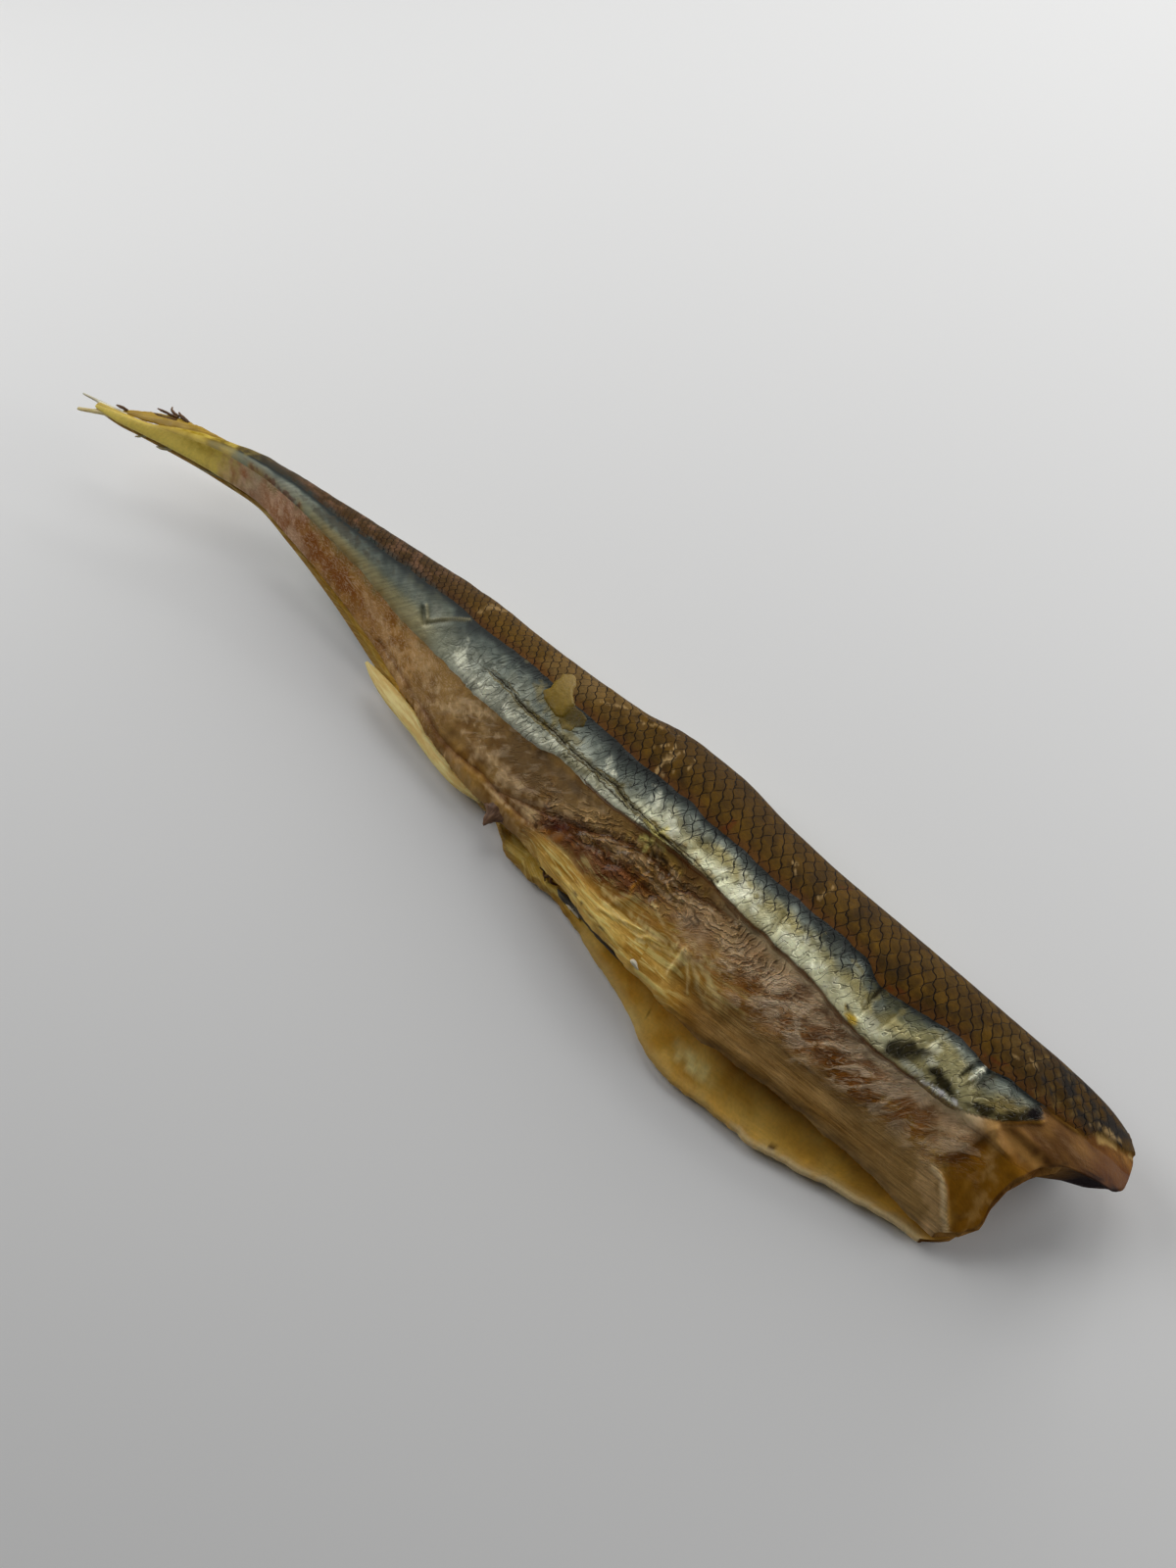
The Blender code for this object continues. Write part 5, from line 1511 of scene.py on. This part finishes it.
u, v = np.linspace(0, 1, 60)[:, None], np.linspace(0, 1, 60)[None, :]
scrap_x, scrap_y = -1.6 + 11.0 * u + 0 * v, 1.4 + 9.0 * v + 0 * u
ragged = 0.12 * rumple(scrap_x, scrap_y, 0.9, 8)
main_leaf = ease((inside(scrap_x, scrap_y, SCRAP) + 0.3 + ragged) / 0.45)
cover = np.maximum(main_leaf, 0.75 * ease((inside(scrap_x, scrap_y, SCRAP_CORNER) + 0.3 + ragged) / 0.45))


def scrap_finish():
    """Thin, slightly see-through skin, frayed where its cover thins out."""
    f = Finish("golden_scrap")
    fine = f.grain(1.6, 3, 0.6)
    cover = f.node("Attribute", {"attribute_name": "paint"}, out=3)
    f.set(Base_Color=toned(f, 0.8 + fine * 0.4), Alpha=(cover * 0.8 + fine * 0.25).held())
    f.set(Roughness=(0.4 + (fine - 0.5) * 0.3).held(), Normal=f.bump(fine * 0.12))
    return moist(f, 0.2)


scrap = film(scrap_x, scrap_y, cover, 0.2, 0.14, 0.14)
x, y = scrap[..., 0], scrap[..., 1]
tint = over(blend((84, 68, 20), (116, 94, 34), ease((5.6 - x) / 1.2)), albedo(122, 100, 50), ease((y - 5.6) / 3))
tint = over(tint, albedo(124, 102, 40), ease((3.2 - y) / 0.8) * ease((x - 5) / 0.8))
thick = ease((5.8 - x) / 1.5) * 0.25 + 0.65
scrap_paints = {"paint": at_corners(*np.moveaxis(tint, -1, 0), thick)}
attached("golden_scrap", [scrap], scrap_finish(), [film_map(scrap, 11.0, 9.0)], scrap_paints)
HAIRS = (
    (
        (14.2, -12.3, 2.1, 0.1, 0.1), (15.0, -12.8, 2.8, 0.2, 0.16), (15.6, -12.3, 3.0, 0.22, 0.18),
        (16.2, -12.9, 2.8, 0.2, 0.16), (16.9, -12.5, 2.1, 0.1, 0.1),
    ),
    ((13.4, -12.0, 2.1, 0.08, 0.08), (14.4, -12.3, 2.7, 0.12, 0.12), (15.2, -13.1, 2.1, 0.08, 0.08)),
)
GREY_GUT = (
    (17.2, -12.9, 2.0, 0.1, 0.1), (18.4, -13.3, 2.1, 0.45, 0.3), (20.0, -13.5, 2.1, 0.42, 0.3),
    (22.0, -13.9, 2.1, 0.26, 0.24), (26.5, -14.9, 2.0, 0.22, 0.22), (30.4, -15.5, 2.0, 0.12, 0.12),
)
WHITE_FLECKS = (
    ((31.3, -15.7, 6.6, 0.15, 0.12), (32.0, -15.9, 6.8, 0.4, 0.25), (33.1, -16.3, 6.6, 0.12, 0.1)),
    ((19.4, -13.8, 2.0, 0.1, 0.1), (20.6, -13.9, 2.2, 0.28, 0.15), (22.0, -14.3, 2.0, 0.1, 0.1)),
)
grey = dried_finish("grey_gut", (44, 42, 38), (92, 88, 78))
white = dried_finish("white_fleck", (170, 158, 132), (214, 206, 186))
attached("curled_hair", [strand(line, 8, 0.2) for line in HAIRS], dark_thread)
attached("grey_gut", [strand(GREY_GUT, 8, 0.3, 0.3)], grey)
attached("white_flecks", [strand(line, 8, 0.15, 0.4) for line in WHITE_FLECKS], white)

# ------------------------------------------------------------------------------------------------------------
# The table: a plain, pale, matt top. It isn't part of the fish.
# ------------------------------------------------------------------------------------------------------------
bm = bmesh.new()
bmesh.ops.create_grid(bm, x_segments=1, y_segments=1, size=3.0)
table_mesh = bpy.data.meshes.new("table")
bm.to_mesh(table_mesh)
bm.free()
table_top = bpy.data.objects.new("table", table_mesh)
bpy.context.scene.collection.objects.link(table_top)
pale_top = Finish("pale_table")
pale_top.set(Base_Color=(0.8, 0.8, 0.795), Roughness=0.75)
table_mesh.materials.append(pale_top.material)

# ------------------------------------------------------------------------------------------------------------
# Light and camera: a wide, soft window behind the back of the fish, three small lights that fill in from the
# window side, the nape and the tail, and a wide lens close above the table.
# ------------------------------------------------------------------------------------------------------------
world = bpy.data.worlds.new("studio")
bpy.context.scene.world = world
world.use_nodes = True
sky = world.node_tree.nodes["Background"].inputs
sky["Color"].default_value, sky["Strength"].default_value = (0.95, 0.97, 1.0, 1), 0.03

for name, azimuth, elevation, distance, size, energy in (
    ("window", 90, 20, 0.60, 0.32, 1.46), ("second window", 30, 20, 0.36, 0.20, 0.47),
    ("doorway", 180, 40, 0.36, 0.20, 0.52), ("ceiling", 112, 46, 0.36, 0.20, 0.33),
):
    light = bpy.data.lights.new(name, "AREA")
    light.shape, light.size, light.energy = "SQUARE", size, energy
    lamp = bpy.data.objects.new(name, light)
    bpy.context.scene.collection.objects.link(lamp)
    round_, up = math.radians(azimuth), math.radians(elevation)
    lamp.location = (
        Vector((math.cos(round_) * math.cos(up), math.sin(round_) * math.cos(up), math.sin(up))) * distance
    )
    lamp.rotation_mode = "QUATERNION"
    lamp.rotation_quaternion = (-lamp.location).to_track_quat("-Z", "Y")

camera_data = bpy.data.cameras.new("camera")
camera_data.lens, camera_data.sensor_width = 27.0, 36.0
camera_data.clip_start, camera_data.clip_end = 0.005, 10
camera = bpy.data.objects.new("camera", camera_data)
bpy.context.scene.collection.objects.link(camera)
camera.location = (0.0578, -0.05275, 0.1448)
aim = Vector((0.0093, 0.00705, 0.0))
camera.rotation_mode = "QUATERNION"
camera.rotation_quaternion = (aim - camera.location).to_track_quat("-Z", "Y")
bpy.context.scene.camera = camera
bpy.context.scene.view_settings.view_transform = "Standard"
